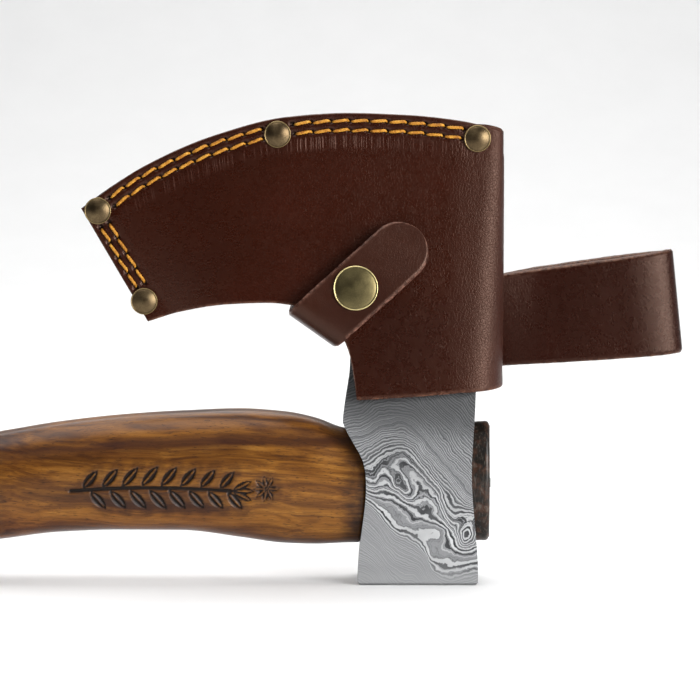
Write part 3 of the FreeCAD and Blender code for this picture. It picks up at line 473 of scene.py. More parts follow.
def float_curve(m, f, lo, hi, vlo, vhi, pts):
    """Smooth curve through pts (x, value) as a node, returned in real units."""
    n = m.nt.nodes.new("ShaderNodeFloatCurve")
    c = n.mapping.curves[0]
    q = [((x - lo) / (hi - lo), (v - vlo) / (vhi - vlo)) for x, v in pts]
    while len(c.points) < len(q):
        c.points.new(0.5, 0.5)
    for pnt, (x, v) in zip(c.points, q):
        pnt.location = (x, v)
        pnt.handle_type = "AUTO"
    n.mapping.update()
    m.put(n.inputs["Value"], m.remap(f, lo, hi, 0.0, 1.0))
    return m.math("ADD", m.math("MULTIPLY", n.outputs[0], vhi - vlo), vlo)


def steel_pattern():
    m = Mat("pattern_steel")
    # layers are folded right through the steel, so the pattern drifts slowly with y
    x0, y0, z0 = m.sep(m.p)
    w1 = m.vec("SUBTRACT", m.noise(9.0, 1.5, 0.5, color=True), (0.5, 0.5, 0.5))
    w2 = m.vec("SUBTRACT", m.noise(2.2, 2.0, 0.55, color=True), (0.5, 0.5, 0.5))
    q = m.vec("ADD", m.p, m.vec("SCALE", w1, scale=3.2))
    q = m.vec("ADD", q, m.vec("SCALE", w2, scale=0.55))
    x, y, z = m.sep(q)
    z = m.math("ADD", z, m.math("MULTIPLY", m.math("ADD", y, 15.0), 0.45))
    zb = float_curve(m, x, -30, 30, 0, 50, [(-30, 31), (-20, 36.0), (-17.6, 37.2), (-12, 40.0), (-6.5, 41.6), (-2, 39.6), (2, 35.6), (6.1, 30.0), (8.4, 25.0),
                                            (10.6, 21.0), (13.5, 19.4), (18.3, 19.6), (24, 20.5), (30, 21)])
    zh = float_curve(m, x, -30, 30, 0, 50, [(-30, 33), (-20, 37.0), (-14, 40.0), (-8, 41.6), (-2, 39.6), (4, 33.5), (10, 26.5), (16, 19.5), (22, 12.5), (30, 3)])
    zs = float_curve(m, x, -30, 30, 0, 50, [(-30, 34), (-20, 31.8), (-17.0, 30.4), (-12.8, 26.6), (-8.8, 21.4), (-5.0, 19.2), (-1.4, 18.0), (2.2, 14.6), (5.0, 9.0), (8.0, 7.0),
                                            (14.0, 6.9), (22, 8), (30, 8)])
    t1 = m.math("SUBTRACT", z, zb)
    up = m.step(t1, 2.0, 15.0)
    t1 = m.math("ADD", m.math("MULTIPLY", t1, m.math("SUBTRACT", 1.0, up)), m.math("MULTIPLY", m.math("SUBTRACT", z, zh), up))
    t2 = m.math("SUBTRACT", z, zs)
    u = m.math("DIVIDE", t2, m.math("MAXIMUM", m.math("SUBTRACT", zb, zs), 2.0))
    uc = m.math("MINIMUM", m.math("MAXIMUM", u, 0.0), 1.0)
    a1 = m.math("MAXIMUM", t1, 0.0)
    a2 = m.math("MAXIMUM", m.math("MULTIPLY", t2, -1.0), 0.0)
    r1 = m.math("MULTIPLY", a1, m.math("ADD", 0.20, m.math("MULTIPLY", m.step(a1, 3.0, 14.0), 0.17)))
    r2 = m.math("MULTIPLY", a2, m.math("ADD", 0.24, m.math("MULTIPLY", m.step(a2, 1.0, 8.0), 0.26)))

    def island(cx, cz, sx, sz, tilt):
        dx, dz = m.math("SUBTRACT", x, cx), m.math("SUBTRACT", z, cz)
        c_, s_ = math.cos(tilt), math.sin(tilt)
        e1 = m.math("MULTIPLY", m.math("ADD", m.math("MULTIPLY", dx, c_), m.math("MULTIPLY", dz, s_)), 1.0 / sx)
        e2 = m.math("MULTIPLY", m.math("SUBTRACT", m.math("MULTIPLY", dz, c_), m.math("MULTIPLY", dx, s_)), 1.0 / sz)
        d2 = m.math("ADD", m.math("MULTIPLY", e1, e1), m.math("MULTIPLY", e2, e2))
        return m.math("EXPONENT", m.math("MULTIPLY", d2, -1.0))

    isl = m.math("MULTIPLY", island(-5.5, 34.0, 3.4, 8.0, math.radians(38)), 1.35)
    isl = m.math("ADD", isl, m.math("MULTIPLY", island(16.6, 17.4, 2.6, 3.6, math.radians(-10)), 1.9))
    isl = m.math("SUBTRACT", isl, m.math("MULTIPLY", island(6.5, 18.5, 5.0, 3.4, math.radians(-15)), 0.7))
    isl = m.math("ADD", isl, m.math("MULTIPLY", island(-15.0, 35.5, 3.2, 4.6, math.radians(20)), 0.8))
    mid = m.math("MULTIPLY", m.step(u, -0.25, 0.15), m.math("SUBTRACT", 1.0, m.step(u, 1.05, 1.5)))
    f = m.math("ADD", m.math("MULTIPLY", uc, 1.9), m.math("SUBTRACT", r1, r2))
    f = m.math("ADD", f, isl)
    f = m.math("ADD", f, m.math("MULTIPLY", m.math("SUBTRACT", m.noise(5.5, 2.5, 0.5), 0.5), 0.9))
    f = m.math("ADD", f, m.math("MULTIPLY", m.math("SUBTRACT", m.noise(0.8, 3, 0.6), 0.5), 0.17))
    lay = m.noise(0.21, 1.5, 0.6, dims="1D", w=f)
    s1 = m.math("MULTIPLY", m.math("SINE", m.math("MULTIPLY", f, 14.5)), 0.15)
    v = m.math("ADD", lay, s1)
    bright = m.step(v, 0.555, 0.625)
    darkl = m.math("SUBTRACT", 1.0, m.step(v, 0.39, 0.46))
    fall = m.math("SUBTRACT", 1.0, m.step(a1, 1.5, 12.0))
    low = m.math("SUBTRACT", 1.0, m.math("MULTIPLY", m.step(a2, 0.3, 4.5), 0.74))
    contrast = m.math("MULTIPLY", m.math("ADD", 0.62, m.math("MULTIPLY", fall, 0.30)), low)
    contrast = m.math("MULTIPLY", contrast, m.remap(m.noise(7, 2, 0.5), 0.3, 0.7, 0.75, 1.15))
    grain = m.noise(0.3, 3, 0.7)
    base = m.mix(m.remap(grain, 0.3, 0.7, 0.0, 1.0), srgb("828385"), srgb("959698"))
    tone = m.noise(22, 2, 0.5)
    base = m.mix(m.remap(tone, 0.3, 0.7, 0.0, 0.35), base, srgb("808183"))
    fine = m.step(m.noise(0.16, 2, 0.6, dims="1D", w=m.math("MULTIPLY", f, 0.9)), 0.50, 0.60)
    base = m.mix(m.math("MULTIPLY", fine, 0.30), base, srgb("5e5f61"))
    col = m.mix(m.math("MULTIPLY", darkl, contrast), base, srgb("2e2f31"))
    col = m.mix(m.math("MULTIPLY", bright, m.math("MULTIPLY", contrast, 0.85)), col, srgb("cfd0d1"))
    # painted shade: the steel is darker towards the top
    painted_top_shade = m.step(m.math("ADD", z0, m.math("MULTIPLY", x0, 0.55)), 22.0, 50.0)
    col = m.mix(m.math("MULTIPLY", painted_top_shade, 0.34), col, srgb("4a4b4d"))
    # painted shadow of the sheath: the etch is darker and softer under the leather; painted light: lighter towards the
    # bottom left; a lighter plain strip along the bottom
    strip = m.math("SUBTRACT", 1.0, m.step(m.math("ADD", z0, m.math("MULTIPLY", m.noise(7, 2, 0.5), 3.0)), 3.0, 8.0))
    painted_low_light = m.math("SUBTRACT", 1.0, m.step(m.math("ADD", z0, m.math("MULTIPLY", x0, 0.5)), 2.0, 22.0))
    col = m.mix(m.math("MULTIPLY", painted_low_light, 0.26), col, srgb("b0b1b2"))
    col = m.mix(m.math("MULTIPLY", strip, 0.40), col, srgb("a4a5a6"))
    # painted shadow of the sheath over the upper part of the head
    under = m.step(m.math("ADD", z0, m.math("MULTIPLY", x0, 0.12)), 46.0, 58.0)
    col = m.mix(m.math("MULTIPLY", under, 0.60), col, srgb("3a3b3c"))
    pits = m.step(m.noise(1.5, 2, 0.5), 0.745, 0.78)
    pits = m.math("MULTIPLY", pits, m.math("SUBTRACT", 1.0, m.step(z0, 11.0, 15.0)))
    col = m.mix(m.math("MULTIPLY", pits, 0.85), col, srgb("1c1a18"))
    m.set("Base Color", col)
    m.b.inputs["Metallic"].default_value = 0.60
    rr = m.math("ADD", 0.48, m.math("MULTIPLY", darkl, 0.10))
    rr = m.math("SUBTRACT", rr, m.math("MULTIPLY", bright, 0.10))
    m.set("Roughness", rr)
    h = m.math("MULTIPLY", m.math("SUBTRACT", m.math("MULTIPLY", bright, 0.6), m.math("MULTIPLY", darkl, 0.8)), contrast)
    nrm = m.bump(h, 0.35, 0.10)
    m.set("Normal", m.bump(grain, 0.12, 0.06, nrm))
    return m.m


mat_steel = steel_pattern()


def wood(name):
    m = Mat(name)
    x, y, z = m.sep(m.p)
    # long streaks: squeeze the noise along the grain, which rises a little towards the head
    zz = m.math("ADD", z, m.math("MULTIPLY", x, 0.05))
    warp = m.vec("SUBTRACT", m.noise(46, 2, 0.5, color=True), (0.5, 0.5, 0.5))
    base = m.vec("ADD", m.comb(m.math("MULTIPLY", x, 0.060), m.math("MULTIPLY", y, 0.8), zz), m.vec("SCALE", warp, scale=9.0))
    big = m.noise(8.5, 3, 0.55, 0.7, vec=base)
    mid = m.noise(2.4, 4, 0.62, 0.5, vec=base)
    fine = m.noise(0.55, 4, 0.68, vec=m.comb(m.math("MULTIPLY", x, 0.035), y, zz))
    tone = m.math("ADD", m.math("MULTIPLY", big, 0.58), m.math("ADD", m.math("MULTIPLY", mid, 0.30), m.math("MULTIPLY", fine, 0.12)))
    col = m.ramp(tone, [(0.34, srgb("1e0d04")), (0.43, srgb("3a1d09")), (0.50, srgb("58330f")), (0.56, srgb("734716")), (0.64, srgb("8d5d23"))])
    # golden field at mid height, a dark heartwood band above it, redder wood below
    zc = m.math("SUBTRACT", z, m.math("ADD", 36.0, m.math("MULTIPLY", m.math("ADD", x, 80.0), 0.03)))
    wav = m.math("MULTIPLY", m.math("SUBTRACT", big, 0.5), 22.0)
    zw = m.math("ADD", zc, wav)
    gold = m.ramp(mid, [(0.30, srgb("4a2a0b")), (0.46, srgb("6f4413")), (0.58, srgb("8c5b1d")), (0.74, srgb("ab7a33"))])
    band = m.math("SUBTRACT", 1.0, m.step(m.math("SUBTRACT", m.math("ABSOLUTE", m.math("ADD", zw, m.remap(x, -75.0, -40.0, 1.0, 7.0))), m.math("MULTIPLY", m.step(x, -75.0, -42.0), 9.0)), 3.0, 11.0))
    band = m.math("MULTIPLY", band, m.remap(x, -150.0, -95.0, 0.30, 1.0))
    col = m.mix(m.math("MULTIPLY", band, 0.75), col, gold)
    heart = m.math("SUBTRACT", 1.0, m.step(m.math("ABSOLUTE", m.math("SUBTRACT", zw, 12.0)), 1.2, 5.5))
    heart = m.math("MULTIPLY", heart, m.remap(m.noise(3.0, 3, 0.6, 0.4, vec=base), 0.35, 0.62, 0.15, 1.0))
    col = m.mix(m.math("MULTIPLY", heart, 0.78), col, srgb("33170a"))
    redf = m.math("MULTIPLY", m.math("SUBTRACT", 1.0, m.step(z, 12.0, 29.0)), m.remap(x, -75.0, -45.0, 1.0, 0.25))
    col = m.mix(m.math("MULTIPLY", redf, 0.5), col, m.ramp(mid, [(0.3, srgb("45200e")), (0.7, srgb("8a5228"))]))
    streak = m.step(m.noise(1.5, 3, 0.6, 0.6, vec=m.vec("ADD", base, (0.0, 31.0, 7.0))), 0.585, 0.66)
    col = m.mix(m.math("MULTIPLY", streak, 0.50), col, srgb("2e150a"))
    fl = m.step(fine, 0.50, 0.62)
    col = m.mix(m.math("MULTIPLY", fl, 0.34), col, srgb("361b0a"))
    pores = m.step(m.noise(0.30, 2, 0.5, vec=m.comb(m.math("MULTIPLY", x, 0.13), y, zz)), 0.61, 0.68)
    col = m.mix(m.math("MULTIPLY", pores, 0.62), col, srgb("1c0d05"))
    # darkened next to the head: partly scorched wood, partly painted shade where the haft meets the eye; darkened over
    # the end that sticks out of the eye
    near = m.step(x, -28.5, -20.5)
    sm = m.noise(4.0, 4, 0.6)
    near = m.math("MULTIPLY", near, m.remap(sm, 0.25, 0.6, 0.35, 1.0))
    # partly painted shade at the joint with the eye
    col = m.mix(m.math("MULTIPLY", near, 0.72), col, srgb("1d0d06"))
    tip = m.step(x, 12.0, 17.0)
    file_ = m.noise(0.5, 3, 0.6, vec=m.vec("MULTIPLY", m.p, (1.0, 1.0, 0.12)))
    mott = m.ramp(m.noise(3.4, 4, 0.62, 0.5), [(0.32, srgb("0e0c0a")), (0.47, srgb("1c1611")), (0.58, srgb("3a2317")), (0.72, srgb("57524b"))])
    mott = m.mix(m.math("MULTIPLY", m.step(file_, 0.52, 0.66), 0.35), mott, srgb("5f5a53"))
    col = m.mix(tip, col, mott)
    r = m.remap(mid, 0.3, 0.7, 0.30, 0.42)
    burn, halo = m.attr("burn"), m.attr("halo")
    col = m.mix(m.math("MULTIPLY", halo, m.remap(m.noise(1.5, 3, 0.6), 0.3, 0.7, 0.35, 0.75)), col, srgb("2c1307"))
    ch = m.mix(m.noise(0.5, 3, 0.6), srgb("0a0604"), srgb("1c0e06"))
    col = m.mix(burn, col, ch)
    r = m.math("ADD", r, m.math("MULTIPLY", burn, 0.35), clamp=True)
    m.set("Base Color", col)
    m.set("Roughness", r)
    n = m.bump(m.math("ADD", m.math("MULTIPLY", pores, -0.8), m.math("MULTIPLY", fine, 0.4)), 0.26, 0.12)
    m.set("Normal", m.bump(m.noise(9.0, 2, 0.5), 0.18, 0.6, n))
    m.b.inputs["Specular IOR Level"].default_value = 0.22
    m.b.inputs["Coat Weight"].default_value = 0.10
    m.b.inputs["Coat Roughness"].default_value = 0.20
    return m.m


mat_wood = wood("haft_wood")


def wedge_wood():
    m = Mat("wedge_wood")
    f = m.noise(1.2, 4, 0.6, vec=m.vec("MULTIPLY", m.p, (1.0, 2.5, 0.4)))
    col = m.ramp(f, [(0.3, srgb("2a1a10")), (0.55, srgb("6a4828")), (0.8, srgb("8a6238"))])
    m.set("Base Color", col)
    m.set("Roughness", 0.6)
    m.set("Normal", m.bump(f, 0.4, 0.2))
    return m.m


def dark_steel():
    m = Mat("wedge_steel")
    f = m.noise(1.0, 4, 0.6)
    m.set("Base Color", m.ramp(f, [(0.3, srgb("2c2b2a")), (0.7, srgb("6e6c69"))]))
    m.b.inputs["Metallic"].default_value = 0.9
    m.set("Roughness", m.remap(f, 0.3, 0.7, 0.4, 0.62))
    m.set("Normal", m.bump(f, 0.3, 0.1))
    return m.m


def dress(node, material):
    me = nodes[node].data
    me.materials.clear()
    me.materials.append(material)


dress("axe_head", mat_steel)
dress("eye_wedge", wedge_wood())
dress("cross_wedge", dark_steel())
mat_welt = welt_material()
dress("sheath_welt", mat_welt)
for n in ("seam_rivet_caps", "seam_rivet_posts", "strap_rivet_cap", "strap_rivet_post", "loop_rivet_caps", "loop_rivet_posts"):
    dress(n, mat_rivet)
dress("snap_cap", mat_snap)
for n in ("snap_socket", "snap_stud", "snap_post"):
    dress(n, mat_nickel)

# -------------------------------------------------------------- sheath mesh
MOUTH = [(-91.3, 88.3), (-80.4, 91.6), (-64.2, 94.3), (-50.0, 94.9), (-41.0, 93.9), (-33.0, 91.0), (-27.3, 86.4),
         (-24.2, 81.0), (-22.5, 75.5), (-21.4, 69.0), (-20.6, 62.5)]
HEM = [(-20.6, 62.5), (0.0, 63.8), (15.0, 65.1), (28.9, 66.6)]


def dense(pts, n=400):
    """Smooth chord-length curve through points, sampled densely, with its lengths."""
    p = np.array(pts, float)
    s = np.concatenate([[0], np.cumsum(np.linalg.norm(np.diff(p, axis=0), axis=1))])
    cx, cz = Curve(list(zip(s, p[:, 0]))), Curve(list(zip(s, p[:, 1])))
    t = np.linspace(0, s[-1], n)
    q = np.stack([cx(t), cz(t)], 1)
    a = np.concatenate([[0], np.cumsum(np.linalg.norm(np.diff(q, axis=0), axis=1))])
    return q, a


mouth_q, mouth_a = dense(MOUTH)
hem_q, hem_a = dense(HEM)


def at_len(q, a, d):
    return np.stack([np.interp(d, a, q[:, 0]), np.interp(d, a, q[:, 1])], 1)


# columns on one panel: (x at the top edge, point on the mouth or hem)
xt = [-113.7]
d = 0.0
while xt[-1] < 19.5:
    k = len(xt)
    stepx = 0.16 if k < 3 else (0.42 if k < 24 else 0.55)
    xt.append(xt[-1] + stepx)
xt = np.array(xt)
XC = -26.0
n_left = int(np.sum(xt <= XC))
fr = (xt[:n_left] - xt[0]) / (xt[n_left - 1] - xt[0])
bot_l = at_len(mouth_q, mouth_a, fr * mouth_a[-1])
c_top, c_bot = FX - fold_rad(152.6), FX - fold_rad(66.0)
fr2 = (xt[n_left:] - xt[n_left - 1]) / (xt[-1] - xt[n_left - 1])
hem_to = -20.6 + fr2 * (c_bot + 20.6)
bot_r = np.stack([hem_to, np.interp(hem_to, hem_q[:, 0], hem_q[:, 1])], 1)
bot = np.concatenate([bot_l, bot_r])
NR_F, NR_C, NR_B = 26, 78, 5


def row_dist(L):
    """Distances from the top edge along a column of length L."""
    a = np.concatenate([[0, 0.14, 0.4], 0.4 + 0.42 * np.arange(1, NR_F - 2)])
    b_end = 0.4
    rest = np.linspace(a[-1], L - 0.4, NR_C + 1)[1:]
    return np.concatenate([a, rest, [L - 0.14, L]])


cols = []
for i in range(len(xt)):
    T = np.array([xt[i], float(top(xt[i]))])
    if i == 0:
        T = np.array([-113.7, 126.5])
    B = bot[i]
    L = np.linalg.norm(B - T)
    dd = row_dist(L)
    cols.append((T[None] + (B - T)[None] * (dd / L)[:, None], dd, L))
flat = np.array([c[0] for c in cols])            # (columns, rows, 2)
NRW = flat.shape[1]
# the fold columns: keep the row heights of the last flat column, run to the bottom edge of the fold
NF = 25
phis = np.radians(np.linspace(0, 90, NF)[1:])


def shell_points(inner):
    """Points of one skin from the front left edge round the fold to the back left edge."""
    half = pocket_half if inner else outer_half
    x, z = flat[..., 0], flat[..., 1]
    c = FX - fold_rad(z)
    ax = fold_rad(z) - (LT if inner else 0)
    y = half(x, z)
    over = np.clip((x - c) / ax, 0, 0.999)
    y = np.where(x > c, half(np.minimum(x, c), z) * (1 - over ** 2.5) ** 0.4, y)
    front = np.stack([x, -y, z], -1)
    last = flat[-1]
    folds = []
    x0, z0 = last[:, 0], last[:, 1]
    ph0 = np.arcsin(np.clip((x0 - (FX - fold_rad(z0))) / fold_rad(z0), 0, 1) ** 1.25)
    tt = np.linspace(0, 1, NF)[1:]
    for t in tt:
        ph = ph0 + (np.pi / 2 - ph0) * t
        # rows sink or rise a little towards the fold so that they end on the hem and the top edge
        rr = np.linspace(0, 1, NRW)
        ztop = float(top(FX)) + 0.0
        zt = z0[0] + (min(float(top(28.2)), 153.4) - z0[0]) * t
        zb = z0[-1] + (66.6 - z0[-1]) * t
        zz = zb + (z0 - z0[-1]) * (zt - zb) / (z0[0] - z0[-1])
        cc = FX - fold_rad(zz)
        axx = fold_rad(zz) - (LT if inner else 0)
        xx = cc + axx * np.sin(ph) ** 0.8
        hy = half(cc, zz)
        yy = hy * np.cos(ph) ** 0.8
        folds.append(np.stack([xx, -yy, zz], -1))
    folds = np.array(folds)
    back_f = folds[:-1][::-1] * np.array([1, -1, 1])
    back = front[::-1] * np.array([1, -1, 1])
    return np.concatenate([front, folds, back_f, back])


S_out, S_in = shell_points(False), shell_points(True)
NC = S_out.shape[0]


def grid_normals(S):
    du = np.gradient(S, axis=0)
    dv = np.gradient(S, axis=1)
    n = np.cross(dv, du)
    return n / np.maximum(np.linalg.norm(n, axis=-1, keepdims=True), 1e-9)


N_out, N_in = grid_normals(S_out), grid_normals(S_in)
cen = S_out[..., 0] * 0
if np.mean((N_out[:len(xt), 20:60] @ np.array([0, -1.0, 0]))) < 0:
    N_out, N_in = -N_out, -N_in

# distances used for edges, holes and wrinkles
dist_l = np.concatenate([[0], np.cumsum(np.linalg.norm(np.diff(S_out[:, NRW // 2], axis=0), axis=1))])
dL = np.minimum(np.arange(NC)[:, None] * 1.0, (NC - 1 - np.arange(NC))[:, None] * 1.0)
X, Z = S_out[..., 0], S_out[..., 2]
edge_left = (X - seam_x(Z)) * 0.865
slope_t = (top(X + 0.5) - top(X - 0.5))
edge_top = (top(np.minimum(X, 28.5)) - Z) / np.sqrt(1 + slope_t ** 2)
rows_from_bottom = np.zeros_like(X)
lens = np.linalg.norm(np.diff(S_out, axis=1), axis=-1)
edge_bot = np.concatenate([np.cumsum(lens[:, ::-1], axis=1)[:, ::-1], np.zeros((NC, 1))], axis=1)


def rounding(e, r=0.5):
    u = np.clip(1 - e / r, 0, 1)
    return r * (1 - np.sqrt(np.maximum(0, 1 - u * u)))


drop = np.maximum(np.maximum(rounding(edge_left), rounding(edge_top)), rounding(edge_bot))
# needle holes, the pull of the stitches and the rivet dents
hole_dent_and_shade = np.zeros_like(X)
groove = np.zeros_like(X)
P2 = np.stack([X, Z], -1)
for hx_, hz_ in HOLES:
    r = np.hypot(X - hx_, Z - hz_)
    hole_dent_and_shade = np.maximum(hole_dent_and_shade, 1 - smooth(0.50, 0.98, r))
for run in RUNS:
    for a, b in zip(run[:-1], run[1:]):
        ab = b - a
        L = np.linalg.norm(ab)
        t = np.clip(((X - a[0]) * ab[0] + (Z - a[1]) * ab[1]) / L ** 2, 0, 1)
        r = np.hypot(X - a[0] - t * ab[0], Z - a[1] - t * ab[1])
        groove = np.maximum(groove, (1 - smooth(0.2, 1.7, r)) * (0.55 + 0.45 * np.abs(2 * t - 1) ** 2))
cap = np.zeros_like(X)
for hx_, hz_ in RIV:
    r = np.hypot(X - hx_, Z - hz_)
    cap = np.maximum(cap, 1 - smooth(3.6, 7.0, r))
quilt = smooth(7.0, 9.5, np.minimum(edge_top, edge_left))
flatp = S_out.reshape(-1, 3)
und = (vnoise(flatp, 34.0, 3) * 0.26 + vnoise(flatp, 11.0, 5) * 0.03).reshape(X.shape)
disp = -drop - 0.85 * hole_dent_and_shade - 0.24 * groove - 0.16 * cap + und * quilt * np.clip(edge_bot / 6.0, 0.2, 1)
S_out2 = S_out + N_out * disp[..., None]
ins = 0.0 * X + rounding(edge_bot, 0.5) + rounding(edge_top, 0.3) + rounding(edge_left, 0.3)
S_in2 = S_in - N_in * 0.0
# rim between the skins: three rows of points with a little fibre fuzz
verts = [S_out2.reshape(-1, 3), S_in2.reshape(-1, 3)]
base_in = NC * NRW
faces = grid_faces(NC, NRW)
faces += grid_faces(NC, NRW, base_in, flip=True)
count = 2 * base_in


def rim(out_ids, in_ids, bulge_dir, seed):
    """Strip of faces from the outer skin's border to the inner skin's border."""
    global count
    A = np.concatenate([v for v in verts])[out_ids]
    B = np.concatenate([v for v in verts])[in_ids]
    rows = [out_ids]
    for k, t in enumerate((0.22, 0.5, 0.78)):
        P = A + (B - A) * t
        fuzz = vnoise(P, 1.3, seed + k) * 0.07 + vnoise(P, 5.0, seed + 9 + k) * 0.06
        bulge = 0.10 * math.sin(math.pi * t)
        P = P + bulge_dir * (bulge - 0.10 + fuzz)[:, None]
        verts.append(P)
        ids = np.arange(count, count + len(P))
        count += len(P)
        rows.append(ids)
    rows.append(in_ids)
    for r0, r1 in zip(rows[:-1], rows[1:]):
        for i in range(len(r0) - 1):
            faces.append((r0[i], r0[i + 1], r1[i + 1], r1[i]))
    return rows


ids = np.arange(NC * NRW).reshape(NC, NRW)
dt = S_out[:, 0] - S_out[:, 3]
dt /= np.linalg.norm(dt, axis=1, keepdims=True)
db = S_out[:, -1] - S_out[:, -4]
db /= np.linalg.norm(db, axis=1, keepdims=True)
dl = np.tile(np.array([[-0.865, 0, -0.501]]), (NRW, 1))
rt = rim(ids[:, 0], ids[:, 0] + base_in, dt, 21)
rb = rim(ids[:, -1], ids[:, -1] + base_in, db, 31)
rl = rim(ids[0, :], ids[0, :] + base_in, dl, 41)
rr_ = rim(ids[-1, :], ids[-1, :] + base_in, dl, 51)
V = np.concatenate(verts)
# painted shade in the needle holes, carried to the leather colour
attr_hole_shade = np.zeros(len(V)); attr_hole_shade[:base_in] = (smooth(0.05, 0.60, hole_dent_and_shade)).reshape(-1)
attr_rim = np.zeros(len(V)); attr_rim[2 * base_in:] = 1.0
attr_wear = np.zeros(len(V))
w_e = np.maximum(np.maximum(1 - smooth(0.1, 0.75, edge_bot), 0.55 * (1 - smooth(0.1, 0.6, edge_left))), 0.35 * (1 - smooth(0.1, 0.5, edge_top)))
attr_wear[:base_in] = w_e.reshape(-1)
wr_band = smooth(7.2, 8.2, edge_top) * (1 - smooth(10.5, 12.8, edge_top)) * smooth(8, 20, edge_left)
patch = 0.35 + 0.65 * smooth(-0.2, 0.5, vnoise(flatp * np.array([1, 0, 0.2]), 17.0, 8).reshape(X.shape))
attr_wr = np.zeros(len(V)); attr_wr[:base_in] = (wr_band * patch * (X < 22)).reshape(-1)
along = np.zeros(len(V)); along[:base_in] = (X + 0.35 * (Z - 120) * slope_t).reshape(-1)
sheath = make_mesh("sheath_leather_shell", V, faces, mat_sheath,
                   {"hole_dent_and_shade": attr_hole_shade, "rim": attr_rim, "wear": attr_wear, "wrinkle": attr_wr, "along": along})
sheath.data.materials.append(mat_inside)
poly_in = np.zeros(len(sheath.data.polygons), np.int32)
nf = (NC - 1) * (NRW - 1)
poly_in[nf:2 * nf] = 1
sheath.data.polygons.foreach_set("material_index", poly_in)
orient_out(sheath)
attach(sheath, "sheath")
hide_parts("sheath_shell")


# ------------------------------------------------------------------- stitches
def stitch_mesh(name, side, node):
    vs, fs, dive_shade = [], [], []
    cnt = 0
    NS, NA = 24, 12
    for ri_, run in enumerate(RUNS):
        for k, (a, b) in enumerate(zip(run[:-1], run[1:])):
            r = random.Random(1000 * ri_ + k + (7 if side > 0 else 0))
            ab = b - a
            L = np.linalg.norm(ab)
            t2 = ab / L
            n2 = np.array([-t2[1], t2[0]])
            s = np.linspace(0.10, 0.985, NS)
            lat = (s - 0.5) * (0.55 + 0.35 * r.random()) + 0.14 * (r.random() - 0.5)
            hook = -0.55 * smooth(0.86, 0.99, s)
            lat = lat + hook * (1 if side < 0 else -1)
            pos = a[None] + ab[None] * s[:, None] + n2[None] * (lat * (1 if side < 0 else -1))[:, None]
            d_end = np.minimum(s - 0.10, 0.985 - s) * L
            hgt = -1.1 + 1.46 * (1 - np.exp(-(d_end / 0.40) ** 1.4)) + 0.06 * r.random()
            hgt = hgt + 0.10 * np.sin(np.pi * np.clip(s, 0, 1))
            y = side * (outer_half(pos[:, 0], pos[:, 1]) - 0.12 + hgt)
            P = np.stack([pos[:, 0], y, pos[:, 1]], 1)
            T = np.gradient(P, axis=0)
            T /= np.linalg.norm(T, axis=1, keepdims=True)
            ref = np.array([n2[0], 0, n2[1]])
            B1 = ref[None] - T * (T @ ref)[:, None]
            B1 /= np.linalg.norm(B1, axis=1, keepdims=True)
            B2 = np.cross(T, B1)
            acc = np.concatenate([[0], np.cumsum(np.linalg.norm(np.diff(P, axis=0), axis=1))])
            rad = 0.50 + 0.03 * (r.random() - 0.5)
            ph0 = r.random() * 6.28
            for i in range(NS):
                for j in range(NA):
                    th = 2 * math.pi * j / NA
                    rr = rad * (1 + 0.15 * math.cos(3 * (th - acc[i] * 2.3 - ph0))) * (0.60 + 0.40 * min(1.0, d_end[i] / 1.3))
                    vs.append(P[i] + B1[i] * rr * math.cos(th) + B2[i] * rr * math.sin(th))
                    # painted shade mask: 1 where the thread dives below the leather
                    dive_shade.append(float(np.clip(1.0 - (hgt[i] + 0.85) / 0.6, 0, 1)))
            for i in range(NS - 1):
                for j in range(NA):
                    j2 = (j + 1) % NA
                    fs.append((cnt + i * NA + j, cnt + i * NA + j2, cnt + (i + 1) * NA + j2, cnt + (i + 1) * NA + j))
            fs.append(tuple(cnt + j for j in range(NA))[::-1])
            fs.append(tuple(cnt + (NS - 1) * NA + j for j in range(NA)))
            cnt += NS * NA
    ob = make_mesh(name, np.array(vs), fs, mat_thread, {"dive_shade": dive_shade})
    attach(ob, "sheath")
    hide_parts(node)
    return ob


stitch_mesh("needle_stitches", -1, "needle_thread")
stitch_mesh("bobbin_stitches", 1, "bobbin_thread")

# ------------------------------------------------------- snap and rivet caps
def turned(name, profile, places, node, body, material, seg=72):
    """Turned caps: profile (radius, height) from the middle of the face to the underside."""
    vs, fs = [], []
    for org, axis in places:
        w = np.array(axis, float); w /= np.linalg.norm(w)
        a = np.cross(w, [0.0, 0.0, 1.0]); a /= np.linalg.norm(a)
        b = np.cross(w, a)
        base = len(vs)
        vs.append(np.array(org) + w * profile[0][1])
        for (r_, h_) in profile[1:]:
            for k in range(seg):
                t = 2 * math.pi * k / seg
                vs.append(np.array(org) + w * h_ + (a * math.cos(t) + b * math.sin(t)) * r_)
        n_ = len(profile) - 1
        for k in range(seg):
            k2 = (k + 1) % seg
            fs.append((base, base + 1 + k, base + 1 + k2))
            for i in range(n_ - 1):
                fs.append((base + 1 + i * seg + k, base + 1 + (i + 1) * seg + k, base + 1 + (i + 1) * seg + k2, base + 1 + i * seg + k2))
        fs.append(tuple(base + 1 + (n_ - 1) * seg + k for k in range(seg)))
    ed = ([0.0] + [1.0 if r_ > profile[19][0] - 0.05 and k_ >= 19 else 0.0 for k_, (r_, h_) in enumerate(profile[1:]) for _ in range(seg)]) * len(places)
    ob = make_mesh(name, np.array(vs), fs, material, {"edge": ed})
    orient_out(ob)
    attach(ob, body)
    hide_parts(node)
    return ob


def dome(rad, edge, rise, under=0.0):
    """Low dome with a small rolled rim."""
    out = [(0.0, rise)]
    rim_r = rad - 0.34
    for t in np.linspace(0.06, 1.0, 18):
        out.append((rim_r * t, edge + (rise - edge) * (1 - t * t) - 0.05 * smooth(0.9, 1.0, t)))
    for an in range(150, -61, -15):
        out.append((rad - 0.20 + 0.20 * math.cos(math.radians(an)), edge - 0.10 + 0.20 * math.sin(math.radians(an))))
    out += [(rad - 0.12, edge * 0.4), (rad - 0.25, under)]
    return out


